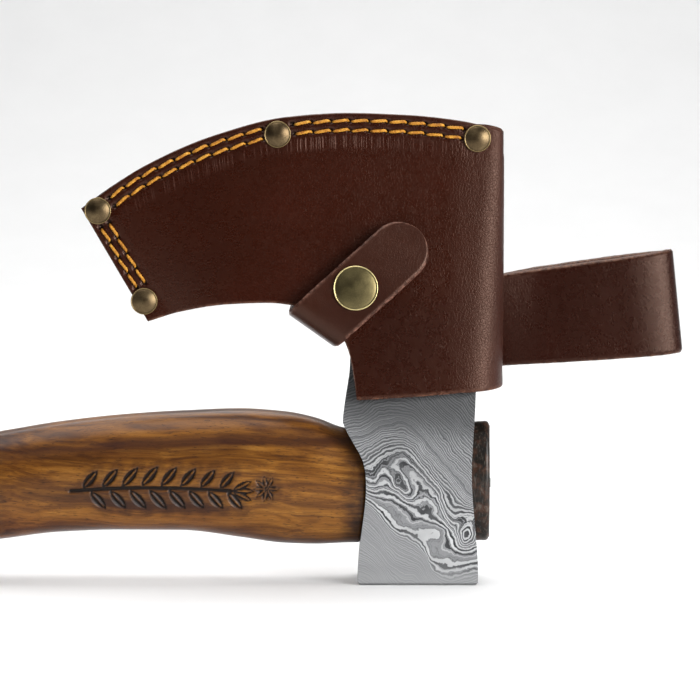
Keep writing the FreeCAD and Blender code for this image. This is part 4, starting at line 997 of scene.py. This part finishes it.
turned("seam_caps", dome(4.5, 0.72, 1.95), [((x_, -4.52, z_), (0, -1, 0)) for x_, z_ in RIV], "seam_rivet_caps", "sheath", mat_rivet)
turned("strap_rivet_head", dome(4.45, 0.72, 1.95), [(np.array([-24.3852, 8.7894, 113.4621]) + np.array([-0.00409, 0.99215, 0.12502]) * 2.76, (-0.00409, 0.99215, 0.12502))],
       "strap_rivet_cap", "sheath", mat_rivet)
cap_o = np.array([-20.9, -10.5627, 99.4]) + np.array([-0.00497, -0.99241, 0.12290]) * 6.42
turned("snap_face", dome(7.45, 0.95, 1.95), [(cap_o, (-0.00497, -0.99241, 0.12290))], "snap_cap", "snap_strap", mat_snap)

# ---------------------------------------------------------------- snap strap
SNAP = (-20.9, 99.4)
ang = math.radians(42.0)
FN = np.array([0.5779, 0, 0.8161])
FD = np.array([0.8161, 0, -0.5779])
FOLD = np.array([SNAP[0] - 20.1 * math.cos(ang), 0, SNAP[1] - 20.1 * math.sin(ang)])


def nearest(fn, lo, hi):
    return fn


# middle line of the strip in the (y, n) plane, from the tip on the back round to the tip on the front
BACKS = [(9.98 - 0.05, 39.3), (10.2, 29.07), (10.95, 21.0), (11.75, 14.0), (12.9, 9.6), (14.6, 6.4), (15.5, 4.3), (14.0, 2.0), (10.5, 1.05),
         (4.0, 0.95), (-4.0, 0.95), (-10.5, 1.05), (-14.4, 2.0), (-16.4, 4.3), (-16.7, 7.6), (-16.35, 11.5), (-15.72, 17.0), (-15.40, 22.0), (-14.55, 29.0),
         (-13.2, 36.0), (-11.55, 43.0), (-10.55, 47.8)]


def resample(pts, stepmm):
    p = np.array(pts, float)
    s = np.concatenate([[0], np.cumsum(np.linalg.norm(np.diff(p, axis=0), axis=1))])
    # Catmull-Rom style smoothing
    m = np.gradient(p, s, axis=0)
    n = int(s[-1] / 0.1)
    t = np.linspace(0, s[-1], n)
    i = np.clip(np.searchsorted(s, t) - 1, 0, len(s) - 2)
    h = (s[i + 1] - s[i])[:, None]
    u = ((t - s[i])[:, None]) / h
    q = (2 * u ** 3 - 3 * u ** 2 + 1) * p[i] + (u ** 3 - 2 * u ** 2 + u) * h * m[i] + (-2 * u ** 3 + 3 * u ** 2) * p[i + 1] + (u ** 3 - u ** 2) * h * m[i + 1]
    a = np.concatenate([[0], np.cumsum(np.linalg.norm(np.diff(q, axis=0), axis=1))])
    return q, a


strap_q, strap_a = resample(BACKS, 0.1)
# strip lengths measured along the middle line; sin and cos of the skew between axis and rulings
SK = math.radians(12.7)
skew_q = 0.2254 * np.maximum(strap_q[:, 1], 0) * np.tanh(-strap_q[:, 0] / 3.0)
total = strap_a[-1]


def strap_point(nu, phi):
    """Middle point for ruling position nu (mm along the middle line) and phi along the fold line."""
    y = np.interp(nu, strap_a, strap_q[:, 0])
    n = np.interp(nu, strap_a, strap_q[:, 1])
    # beyond the ends run straight
    e0 = np.maximum(0, -nu)
    e1 = np.maximum(0, nu - total)
    d0 = (strap_q[0] - strap_q[5]) / np.linalg.norm(strap_q[0] - strap_q[5])
    d1 = (strap_q[-1] - strap_q[-6]) / np.linalg.norm(strap_q[-1] - strap_q[-6])
    y = y + e0 * d0[0] + e1 * d1[0]
    n = n + e0 * d0[1] + e1 * d1[1]
    sh = 0.0716 * (smooth(2, 14, n) * np.where(y > 0, 1.0, -1.0))
    y = y + sh * phi
    return FOLD[None] * 1.0 + FN[None] * n[:, None] + FD[None] * phi[:, None] + np.array([[0, 1.0, 0]]) * y[:, None]


# position along the middle line of the fold's lowest point
i_f = int(np.argmin(np.abs(strap_q[:, 0]) + 1000 * (strap_q[:, 1] > 3)))
nu_f = strap_a[i_f]


def back_nu(a_mm, b_mm):
    return a_mm * math.cos(SK) + b_mm * math.sin(SK), a_mm * math.sin(SK) - b_mm * math.cos(SK)


# the strip in its own flat plane: a along (0 at the fold), b across (positive to the upper left on the front)
def strip_to_surface(a, b):
    nu = a * math.cos(SK) + b * math.sin(SK)
    phi = a * math.sin(SK) * 1.0 - b * math.cos(SK)
    return nu, phi


# front: axis point at distance a from the fold -> n = a cos(SK), phi = a sin(SK)
hw = 9.95
a_front = (total - nu_f) / math.cos(SK)
a_back = nu_f / math.cos(SK)
na = 150
a_lin = np.linspace(-a_back, a_front, na)
# finer rows near both round tips
tipn = 16
end_f = a_front - hw * (1 - np.cos(np.linspace(math.pi / 2, 0.06, tipn)))
end_b = -a_back + hw * (1 - np.cos(np.linspace(0.06, math.pi / 2, tipn)))
a_all = np.concatenate([end_b, np.linspace(-a_back + hw, a_front - hw, 116)[1:-1], end_f])


def half_width(a):
    w = np.full_like(a, hw)
    c = a_front - hw
    w = np.where(a > c, np.sqrt(np.maximum(0.01, hw ** 2 - (a - c) ** 2)), w)
    c = -a_back + hw
    w = np.where(a < c, np.sqrt(np.maximum(0.01, hw ** 2 - (a - c) ** 2)), w)
    return w


# section round the strip: beta across and the offset from the middle, with eased corners
TH = 2.6
sec = []
nb = 30
er = 0.55
for k in range(nb + 1):
    sec.append((-1 + 2 * k / nb, 1.0, 0.0))
profile = []
for k in range(nb + 1):
    profile.append(("t", -1 + 2 * k / nb))
sect = []
tt = np.linspace(-1, 1, nb + 1)
for v in tt:
    sect.append((v, 1))
sect += [(1, 0.45), (1, -0.45)]
for v in tt[::-1]:
    sect.append((v, -1))
sect += [(-1, -0.45), (-1, 0.45)]
M = len(sect)
W_ = half_width(a_all)
rows = []
rimv, wearv = [], []
for (v, o) in sect:
    b = v * W_
    # the top face stops a little short of the edge and rounds over
    edge_d = (1 - abs(v)) * W_
    rnd = rounding(edge_d, er) if abs(o) == 1 else 0 * W_
    off = o * TH / 2 - np.sign(o) * rnd if abs(o) == 1 else np.full_like(W_, o * TH / 2)
    fuzz = 0.0
    nu = nu_f + a_all * math.cos(SK)
    phi = np.interp(nu, strap_a, skew_q)
    lean = smooth(-26.0, -12.0, a_all) * 2 - 1
    nu2 = nu + b * math.sin(SK) * lean
    phi2 = phi - b * math.cos(SK)
    rows.append((nu2, phi2, off, b))
    rimv.append(np.full_like(W_, 1.0 if abs(o) < 1 else 0.0))
    wearv.append((1 - smooth(0.15, 1.0, edge_d)) if abs(o) == 1 else 0 * W_)


def strap_surface(nu, phi, off):
    e = 0.15
    P = strap_point(nu, phi)
    Pu = strap_point(nu + e, phi) - strap_point(nu - e, phi)
    Pv = strap_point(nu, phi + e) - strap_point(nu, phi - e)
    n = np.cross(Pu, Pv)
    n /= np.linalg.norm(n, axis=1, keepdims=True)
    return P, n


strap_v = []
for (nu, phi, off, b) in rows:
    # phi for the back half runs the mirrored way
    P, n = strap_surface(nu, phi, off)
    strap_v.append((P, n, off))
# outward is away from the blade: at the front that is -Y
test = strap_v[0][1][-20]
sgn = -1.0 if test[1] > 0 else 1.0
VV = []
for k, (P, n, off) in enumerate(strap_v):
    Q = P + n * (sgn * off)[:, None]
    f = vnoise(Q, 1.2, 60) * 0.05 + vnoise(Q, 4.0, 61) * 0.05
    if abs(sect[k][1]) < 1:
        d = (strap_v[k][0] - strap_v[nb // 2][0])
        d /= np.maximum(np.linalg.norm(d, axis=1, keepdims=True), 1e-6)
        Q = Q + d * f[:, None] * 2.0
    VV.append(Q)
VV = np.array(VV).transpose(1, 0, 2)          # (rows along, section, 3)
na_all = VV.shape[0]
verts_s = VV.reshape(-1, 3)
faces_s = []
for i in range(na_all - 1):
    for j in range(M):
        j2 = (j + 1) % M
        faces_s.append((i * M + j, i * M + j2, (i + 1) * M + j2, (i + 1) * M + j))
faces_s.append(tuple(range(M))[::-1])
faces_s.append(tuple((na_all - 1) * M + j for j in range(M)))
rimv = np.array(rimv).T.reshape(-1)
wearv = np.array(wearv).T.reshape(-1)
strap = make_mesh("snap_strap_leather", verts_s, faces_s, mat_strap,
                  {"hole_dent_and_shade": np.zeros(len(verts_s)), "rim": rimv, "wear": wearv, "wrinkle": np.zeros(len(verts_s)), "along": verts_s[:, 0]})
orient_out(strap)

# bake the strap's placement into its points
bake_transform(strap)
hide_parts("strap_tail", "strap_bend", "strap_flap")

# ----------------------------------------------------------------- belt loop
LO = np.array([2.0, 0, 84.8])
e = 0.5
hh = float(outer_half(2.0, 84.8))
hxs = float(outer_half(2.5, 84.8) - outer_half(1.5, 84.8))
hzs = float(outer_half(2.0, 85.3) - outer_half(2.0, 84.3))
lo_w = np.array([-hxs, 1, -hzs]); lo_w /= np.linalg.norm(lo_w)
la = math.radians(6.0)
lo_u = np.array([math.cos(la), 0, math.sin(la)])
lo_u = lo_u - lo_w * (lo_u @ lo_w); lo_u /= np.linalg.norm(lo_u)
lo_v = np.cross(lo_u, lo_w)
LB = np.array([2.0, hh, 84.8]) + lo_w * 0.15
th_l, gap_l, reach = 2.8, 8.0, 88.5
tr_ = (2 * th_l + gap_l) / 2
exl = reach - tr_
h = th_l / 2
lp = [(-16, h), (-6, h), (4, h), (14, h), (26, h), (40, h + 0.1), (53, h + 0.10), (65, h + 0.03)]
for d_ in (-66, -52, -38, -22, -7, 7, 22, 38, 52, 66):
    r_ = math.radians(d_)
    lp.append((reach - h - 20.0 + 20.0 * math.cos(r_), tr_ + (tr_ - h) * math.sin(r_)))
zt_ = 2 * th_l + gap_l - h
lp += [(66, zt_ - 0.03), (58, th_l + h + gap_l * 0.985), (44, th_l + h + gap_l * 0.86), (32, th_l + h + gap_l * 0.58), (22, th_l + h + gap_l * 0.25), (13, th_l + h + 0.35),
       (4, th_l + h), (-6, th_l + h), (-16, th_l + h)]
lq, lqa = resample(lp, 0.1)
nl_ = 210
sl_ = np.linspace(0, lqa[-1], nl_)
ps = np.interp(sl_, lqa, lq[:, 0])
pt_ = np.interp(sl_, lqa, lq[:, 1])
dps, dpt = np.gradient(ps, sl_), np.gradient(pt_, sl_)
ln = np.hypot(dps, dpt)
ns, nt_ = dpt / ln, -dps / ln                # outward of the loop (towards -t on the first layer)
wl_ = 17.0
nbl = 40
tb = np.linspace(-1, 1, nbl + 1)
sect2 = [(v, 1) for v in tb] + [(1, 0.45), (1, -0.45)] + [(v, -1) for v in tb[::-1]] + [(-1, -0.45), (-1, 0.45)]
M2 = len(sect2)
LV_, rim2, wear2 = [], [], []
sag = 0.45 * np.sin(np.pi * np.clip((sl_ - 20) / 70.0, 0, 1))
for (v, o) in sect2:
    ed = (1 - abs(v)) * wl_
    rnd = float(rounding(np.array(ed), 0.55)) if abs(o) == 1 else 0.0
    off = o * th_l / 2 - (np.sign(o) * rnd if abs(o) == 1 else 0)
    bb = v * (15.1 + 2.6 * np.clip((ps - 12.0) / 76.5, 0, 1))
    wav = 0.22 * vnoise(np.stack([sl_, 0 * sl_ + v * 7.0, 0 * sl_], 1), 14.0, 77) * smooth(18, 34, ps)
    S_ = ps + ns * (off + wav)
    T_ = pt_ + nt_ * (off + wav)
    P = LB[None] + lo_u[None] * S_[:, None] + lo_w[None] * T_[:, None] + lo_v[None] * bb[:, None]
    P = P + lo_w[None] * (bb * 0.15 * smooth(16.0, 44.0, ps))[:, None]
    P = P - lo_v[None] * (0.85 * smooth(tr_ - 0.5, tr_ + 1.0, pt_) * np.maximum(v, 0.0))[:, None]
    fz = vnoise(P, 1.3, 81) * 0.06 + vnoise(P, 6.0, 82) * 0.10
    if abs(v) == 1:
        P = P + lo_v[None] * (np.sign(v) * fz)[:, None]
    LV_.append(P)
    rim2.append(np.full(nl_, 1.0 if abs(o) < 1 else 0.0))
    wear2.append(np.full(nl_, (1 - float(smooth(0.15, 1.0, np.array(ed)))) if abs(o) == 1 else 0.0))
LV_ = np.array(LV_).transpose(1, 0, 2)
vl = LV_.reshape(-1, 3)
fl_ = []
for i in range(nl_ - 1):
    for j in range(M2):
        j2 = (j + 1) % M2
        fl_.append((i * M2 + j, i * M2 + j2, (i + 1) * M2 + j2, (i + 1) * M2 + j))
fl_.append(tuple(range(M2))[::-1])
fl_.append(tuple((nl_ - 1) * M2 + j for j in range(M2)))
loop = make_mesh("belt_loop_leather", vl, fl_, mat_loop,
                 {"hole_dent_and_shade": np.zeros(len(vl)), "rim": np.array(rim2).T.reshape(-1), "wear": np.array(wear2).T.reshape(-1), "wrinkle": np.zeros(len(vl)), "along": vl[:, 0]})
orient_out(loop)
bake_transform(loop)
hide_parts("belt_loop", "belt_loop_root")

# -------------------------------------------------------------------- handle
HT = [(-24.7, 51.9), (-34.8, 55.4), (-45, 57.5), (-60.2, 58.5), (-80.4, 57.8), (-100.7, 56.4), (-121, 54.1),
      (-141.3, 50.7), (-160, 47.6), (-180, 44.6), (-200, 42.1), (-220, 40.2), (-240, 38.7), (-260, 37.6),
      (-280, 37.0), (-300, 37.0), (-320, 37.8), (-340, 40.0), (-358, 43.6), (-372, 46.8), (-384, 48.5), (-400, 48.0), (-12.0, 50.8)]
HB = [(-24.7, 12.6), (-34.8, 12.2), (-45, 12.5), (-60.2, 14.5), (-80.4, 16.9), (-100.7, 17.0), (-121, 16.2),
      (-141.3, 13.9), (-160, 11.9), (-180, 10.0), (-200, 8.4), (-220, 7.0), (-240, 5.7), (-260, 4.5), (-280, 3.4),
      (-300, 2.3), (-320, 1.3), (-340, 0.45), (-358, 0.05), (-372, 0.6), (-386, 3.0), (-400, 8.0), (-12.0, 12.9)]
HY = [(-14, 12.0), (-25, 12.5), (-35, 13.0), (-60, 13.6), (-100, 13.4), (-141, 13.0), (-200, 12.5), (-260, 12.2),
      (-320, 12.5), (-360, 13.5), (-385, 14.0), (-402, 13.6)]
ht, hb, hy = Curve(HT), Curve(HB), Curve(HY)
flank = Curve([(55.1, -25.35), (47.1, -21.2), (41.4, -18.4), (36.7, -17.6), (28.5, -17.7), (20.7, -18.6), (12.9, -19.6), (0.0, -20.4)])
# angles round the oval: 0 is the top; the half towards -Y is finer
front_a = np.linspace(math.pi * 1.26, math.pi * 1.74, 96)
a1 = np.linspace(0, math.pi * 1.26, 84, endpoint=False)
a2 = np.linspace(math.pi * 1.74, 2 * math.pi, 20)[1:-1]
ANG = np.concatenate([a1, front_a, a2])
NAH = len(ANG)
ca, sa = np.cos(ANG), np.sin(ANG)
PW = 2.0 / 2.25


def signed(v, p):
    return np.sign(v) * np.abs(v) ** p


def haft_ring(x):
    """x: array of one x per angle."""
    zc, hz = (ht(x) + hb(x)) / 2, (ht(x) - hb(x)) / 2
    return np.stack([x, hy(x) * signed(sa, PW), zc + hz * signed(ca, PW)], 1)


rings = []
x_butt = lambda z: -398 + (44 - z) * 0.2
base_x = np.concatenate([np.arange(-384, -122, 1.6), np.arange(-122, -44, 0.36), np.arange(-44, -36, 0.8)])
# butt: rounded edge onto a slanted, slightly crowned face
ring_end = haft_ring(np.full(NAH, -384.0))
butt = []
for t, shr in ((1.0, 0.955), (0.995, 0.975), (0.985, 0.989), (0.965, 0.9975), (0.93, 1.0), (0.86, 1.0), (0.7, 1.0), (0.5, 1.0), (0.3, 1.0), (0.12, 1.0)):
    x = np.full(NAH, -390.0)
    for _ in range(4):
        R = haft_ring(x)
        x = -384 + t * (x_butt(R[:, 2]) + 384)
    R = haft_ring(x)
    c = R.mean(0)
    R = c + (R - c) * np.array([1, shr, shr])
    butt.append(R)
cap0 = butt[0]
cc = cap0.mean(0)
for s in (0.12, 0.35, 0.6, 0.8, 0.93):
    R = cc + (cap0 - cc) * s
    R[:, 0] = cc[0] + (cap0[:, 0] - cc[0]) * s - 0.35 * (1 - s ** 2)
    rings.append(R)
rings += butt
for xv in base_x:
    rings.append(haft_ring(np.full(NAH, xv)))
# shoulder rings follow the flank of the head
for t in np.linspace(0, 1, 26)[1:]:
    x = np.full(NAH, -30.0)
    for _ in range(4):
        R = haft_ring(x)
        x = -36.2 + t * (flank(R[:, 2]) - 0.2 + 36.2)
    R = haft_ring(x)
    if t == 1:
        cR = R.mean(0)
        R = R.copy(); R[:, 1:] = cR[1:] + (R[:, 1:] - cR[1:]) * 0.992
    rings.append(R)
PT = 2.0 / 2.15


def tongue_ring(x, shrink=0.0):
    t = (x + 25.0) / 50.0
    zc = 32.2 + t * 1.7
    hz = 19.3 + t * 1.3 - 0.1 - shrink
    hyy = 9.4 + t * 1.0 - 0.1 - shrink
    return np.stack([np.full(NAH, x), hyy * signed(sa, PT), zc + hz * signed(ca, PT)], 1)


last = rings[-1]
tr0 = tongue_ring(-18.0)
xx = flank(tr0[:, 2]) - 0.2
tr0[:, 0] = xx
rings.append((last + tr0) / 2)
rings.append(tr0)
for xv in (-12, -4, 4, 12, 16, 18):
    rings.append(tongue_ring(xv))
for xv in np.arange(18.6, 23.2, 0.6):
    rings.append(tongue_ring(xv, 0.04 * math.sin(xv * 3)))
for xv, s in ((23.3, 0.05), (23.7, 0.25), (24.0, 0.55), (24.2, 0.9), (24.3, 1.35)):
    rings.append(tongue_ring(xv, s))
endr = tongue_ring(24.3, 1.35)
ce = endr.mean(0)
for s in (0.8, 0.55, 0.3, 0.1):
    rings.append(ce + (endr - ce) * s)
HV = np.array(rings)
NRH = len(rings)

# carved and scorched leaf sprig on the near face: a stem with paired leaves and a small bud


def seg_dist(px, pz, a, b):
    ab = np.array(b, float) - np.array(a, float)
    t = np.clip(((px - a[0]) * ab[0] + (pz - a[1]) * ab[1]) / (ab @ ab), 0, 1)
    return np.hypot(px - a[0] - t * ab[0], pz - a[1] - t * ab[1]), t


def leaf(px, pz, base, angle, length, width):
    """Depth 0..1 of a pointed leaf with a raised midrib."""
    c, s = math.cos(angle), math.sin(angle)
    u = ((px - base[0]) * c + (pz - base[1]) * s) / length
    v = (-(px - base[0]) * s + (pz - base[1]) * c)
    half = width / 2 * np.sin(np.pi * np.clip(u, 0, 1)) ** 0.75
    inside = (half - np.abs(v))
    d = smooth(0.0, 0.45, inside) * (u > 0) * (u < 1)
    rib = 1 - 0.85 * (1 - smooth(0.18, 0.50, np.abs(v))) * smooth(0.08, 0.2, u) * (1 - smooth(0.80, 0.97, u))
    return d * rib, inside


def sprig(px, pz):
    depth = np.zeros_like(px)
    near = np.full_like(px, 9.0)
    stem = lambda x: 31.6 + 1.1 * math.sin((x + 118) / 54.0 * 3.0)
    xs = np.linspace(-117, -63, 28)
    for a, b in zip(xs[:-1], xs[1:]):
        d, t = seg_dist(px, pz, (a, stem(a)), (b, stem(b)))
        depth = np.maximum(depth, 1 - smooth(0.35, 0.85, d))
        near = np.minimum(near, d - 0.6)
    for k, xb in enumerate(np.arange(-113, -66, 6.6)):
        ln_ = 9.2 - 0.35 * abs(k - 3)
        for sgn_ in (1, -1):
            off = 0.0 if sgn_ > 0 else 2.6
            d, ins_ = leaf(px, pz, (xb + off, stem(xb + off) + 0.5 * sgn_), sgn_ * math.radians(50), ln_, 3.5)
            depth = np.maximum(depth, d)
            b0_ = (xb + off, stem(xb + off) + 0.5 * sgn_)
            an_ = sgn_ * math.radians(50)
            dd_, _t = seg_dist(px, pz, b0_, (b0_[0] + ln_ * math.cos(an_), b0_[1] + ln_ * math.sin(an_)))
            near = np.minimum(near, dd_ - 1.4)
    for an in (-28, 0, 28):
        d, ins_ = leaf(px, pz, (-62.5, stem(-62.5)), math.radians(an), 7.5, 2.8)
        depth = np.maximum(depth, d)
    # small bud nearer the head
    for an in (60, 100, 140, -60, -100, -140, 180, 0):
        d, ins_ = leaf(px, pz, (-51.0, 32.4), math.radians(an), 4.6, 2.1)
        depth = np.maximum(depth, d)
    r = np.hypot(px + 51.0, pz - 32.4)
    near = np.minimum(near, r - 4.4)
    return depth, near


px, pz = HV[..., 0], HV[..., 2]
isfront = (HV[..., 1] < -4) & (px > -124) & (px < -42)
dep, nearh = sprig(px, pz)
dep = np.where(isfront, dep, 0)
halo = np.where(isfront, 1 - smooth(0.0, 2.2, nearh), 0) * 0.75
dep_geo = dep * 0.8
# inward is towards the middle of the haft
cz = (ht(px) + hb(px)) / 2
inw = np.stack([0 * px, -HV[..., 1], (cz - pz) * 0.35], -1)
inw /= np.maximum(np.linalg.norm(inw, axis=-1, keepdims=True), 1e-6)
HV = HV + inw * dep_geo[..., None]
# hand-shaped surface: faint unevenness that dies out at the head
nz = vnoise(HV.reshape(-1, 3), 16.0, 91).reshape(px.shape) * 0.10 * (px < -40) * (px > -380)
HV = HV - inw * nz[..., None]
hv = HV.reshape(-1, 3)
hf = grid_faces(NRH, NAH)
for i in range(NRH - 1):
    hf.append((i * NAH + NAH - 1, (i + 1) * NAH + NAH - 1, (i + 1) * NAH, i * NAH))
hf.append(tuple(range(NAH)))
hf.append(tuple((NRH - 1) * NAH + j for j in range(NAH))[::-1])
handle = make_mesh("haft_wood_body", hv, hf, mat_wood, {"burn": smooth(0.12, 0.6, dep).reshape(-1), "halo": halo.reshape(-1)})
orient_out(handle)
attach(handle, "axe")
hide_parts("handle")

# ---------------------------------------------------------------- stage, camera
def stage_material():
    m = Mat("paper_floor")
    n = m.noise(60, 2, 0.5)
    # painted shade: the sheet is painted dark grey in front of the axe, towards the camera, standing in for the unlit
    # side of the room and cutting its bounce light
    fx, fy, fz = m.sep(m.p)
    front_shade_ramp = m.step(m.math("ADD", fy, m.math("MULTIPLY", n, 60.0)), -760.0, -330.0)
    col = m.mix(n, (0.86, 0.86, 0.86), (0.90, 0.90, 0.90))
    m.set("Base Color", m.mix(front_shade_ramp, (0.12, 0.12, 0.12), col))
    m.set("Roughness", 0.55)
    m.set("Normal", m.bump(m.noise(2.0, 3, 0.6), 0.02, 0.05))
    return m.m


fs = 3.0
prof = []
for k in range(24):
    t = k / 23.0
    if t < 0.55:
        prof.append((-2.6 + 4.2 * t / 0.55, -0.0002))
    else:
        r = (t - 0.55) / 0.45
        an = r * math.pi / 2
        prof.append((1.6 + 1.2 * math.sin(an), -0.0002 + 1.2 * (1 - math.cos(an))))
prof.append((2.8, 3.0))
fv = [(x * 1000, y * 1000, z * 1000) for (y, z) in prof for x in (-3.0, 3.0)]
ff = [(2 * i, 2 * i + 1, 2 * i + 3, 2 * i + 2) for i in range(len(prof) - 1)]
floor = make_mesh("studio_floor", fv, ff, stage_material())

world = bpy.data.worlds.new("studio")
bpy.context.scene.world = world
world.use_nodes = True
wt_ = world.node_tree
bgn = wt_.nodes["Background"]
wtc = wt_.nodes.new("ShaderNodeTexCoord")
wsx = wt_.nodes.new("ShaderNodeSeparateXYZ")
wmr = wt_.nodes.new("ShaderNodeMapRange")
wmr.interpolation_type = "SMOOTHSTEP"
wt_.links.new(wtc.outputs["Generated"], wsx.inputs[0])
wt_.links.new(wsx.outputs[1], wmr.inputs[0])
for k_, v_ in zip((1, 2, 3, 4), (-0.75, 0.35, 0.05, 0.70)):
    wmr.inputs[k_].default_value = v_
bgn.inputs[0].default_value = (1, 1, 1, 1)
wt_.links.new(wmr.outputs[0], bgn.inputs[1])


def area(name, loc, target, size, power, color=(1, 1, 1), size_y=None):
    l = bpy.data.lights.new(name, "AREA")
    l.energy = power
    l.color = color
    l.size = size
    if size_y:
        l.shape = "RECTANGLE"
        l.size_y = size_y
    o = bpy.data.objects.new(name, l)
    bpy.context.scene.collection.objects.link(o)
    o.location = loc
    o.rotation_euler = (Vector(target) - Vector(loc)).to_track_quat("-Z", "Y").to_euler()
    return o


mid_ = (-0.02, 0, 0.09)
area("top_soft", (-0.1, 0.05, 1.0), mid_, 1.2, 10.0, size_y=0.7)
area("right_soft", (0.88, -0.88, 0.34), mid_, 0.66, 22.0, size_y=0.8)
area("front_fill", (-0.35, -1.5, 1.1), mid_, 0.7, 1.0, size_y=0.5)
area("back_wash", (0.0, 1.2, 1.3), (0, 1.6, 0.2), 1.8, 20.0, size_y=0.8)

cam_data = bpy.data.cameras.new("view")
cam = bpy.data.objects.new("view", cam_data)
bpy.context.scene.collection.objects.link(cam)
cam_data.sensor_width = 36.0
cam_data.lens = 136.2
az, el, dist = math.radians(0.5), math.radians(4.0), 0.9
tgt = Vector((-0.023, 0, 0.0784))
cam.location = tgt + Vector((math.sin(az) * math.cos(el), -math.cos(az) * math.cos(el), math.sin(el))) * dist
cam.rotation_euler = (tgt - cam.location).to_track_quat("-Z", "Y").to_euler()
cam_data.clip_start = 0.01
bpy.context.scene.camera = cam
bpy.context.scene.view_settings.view_transform = "Standard"
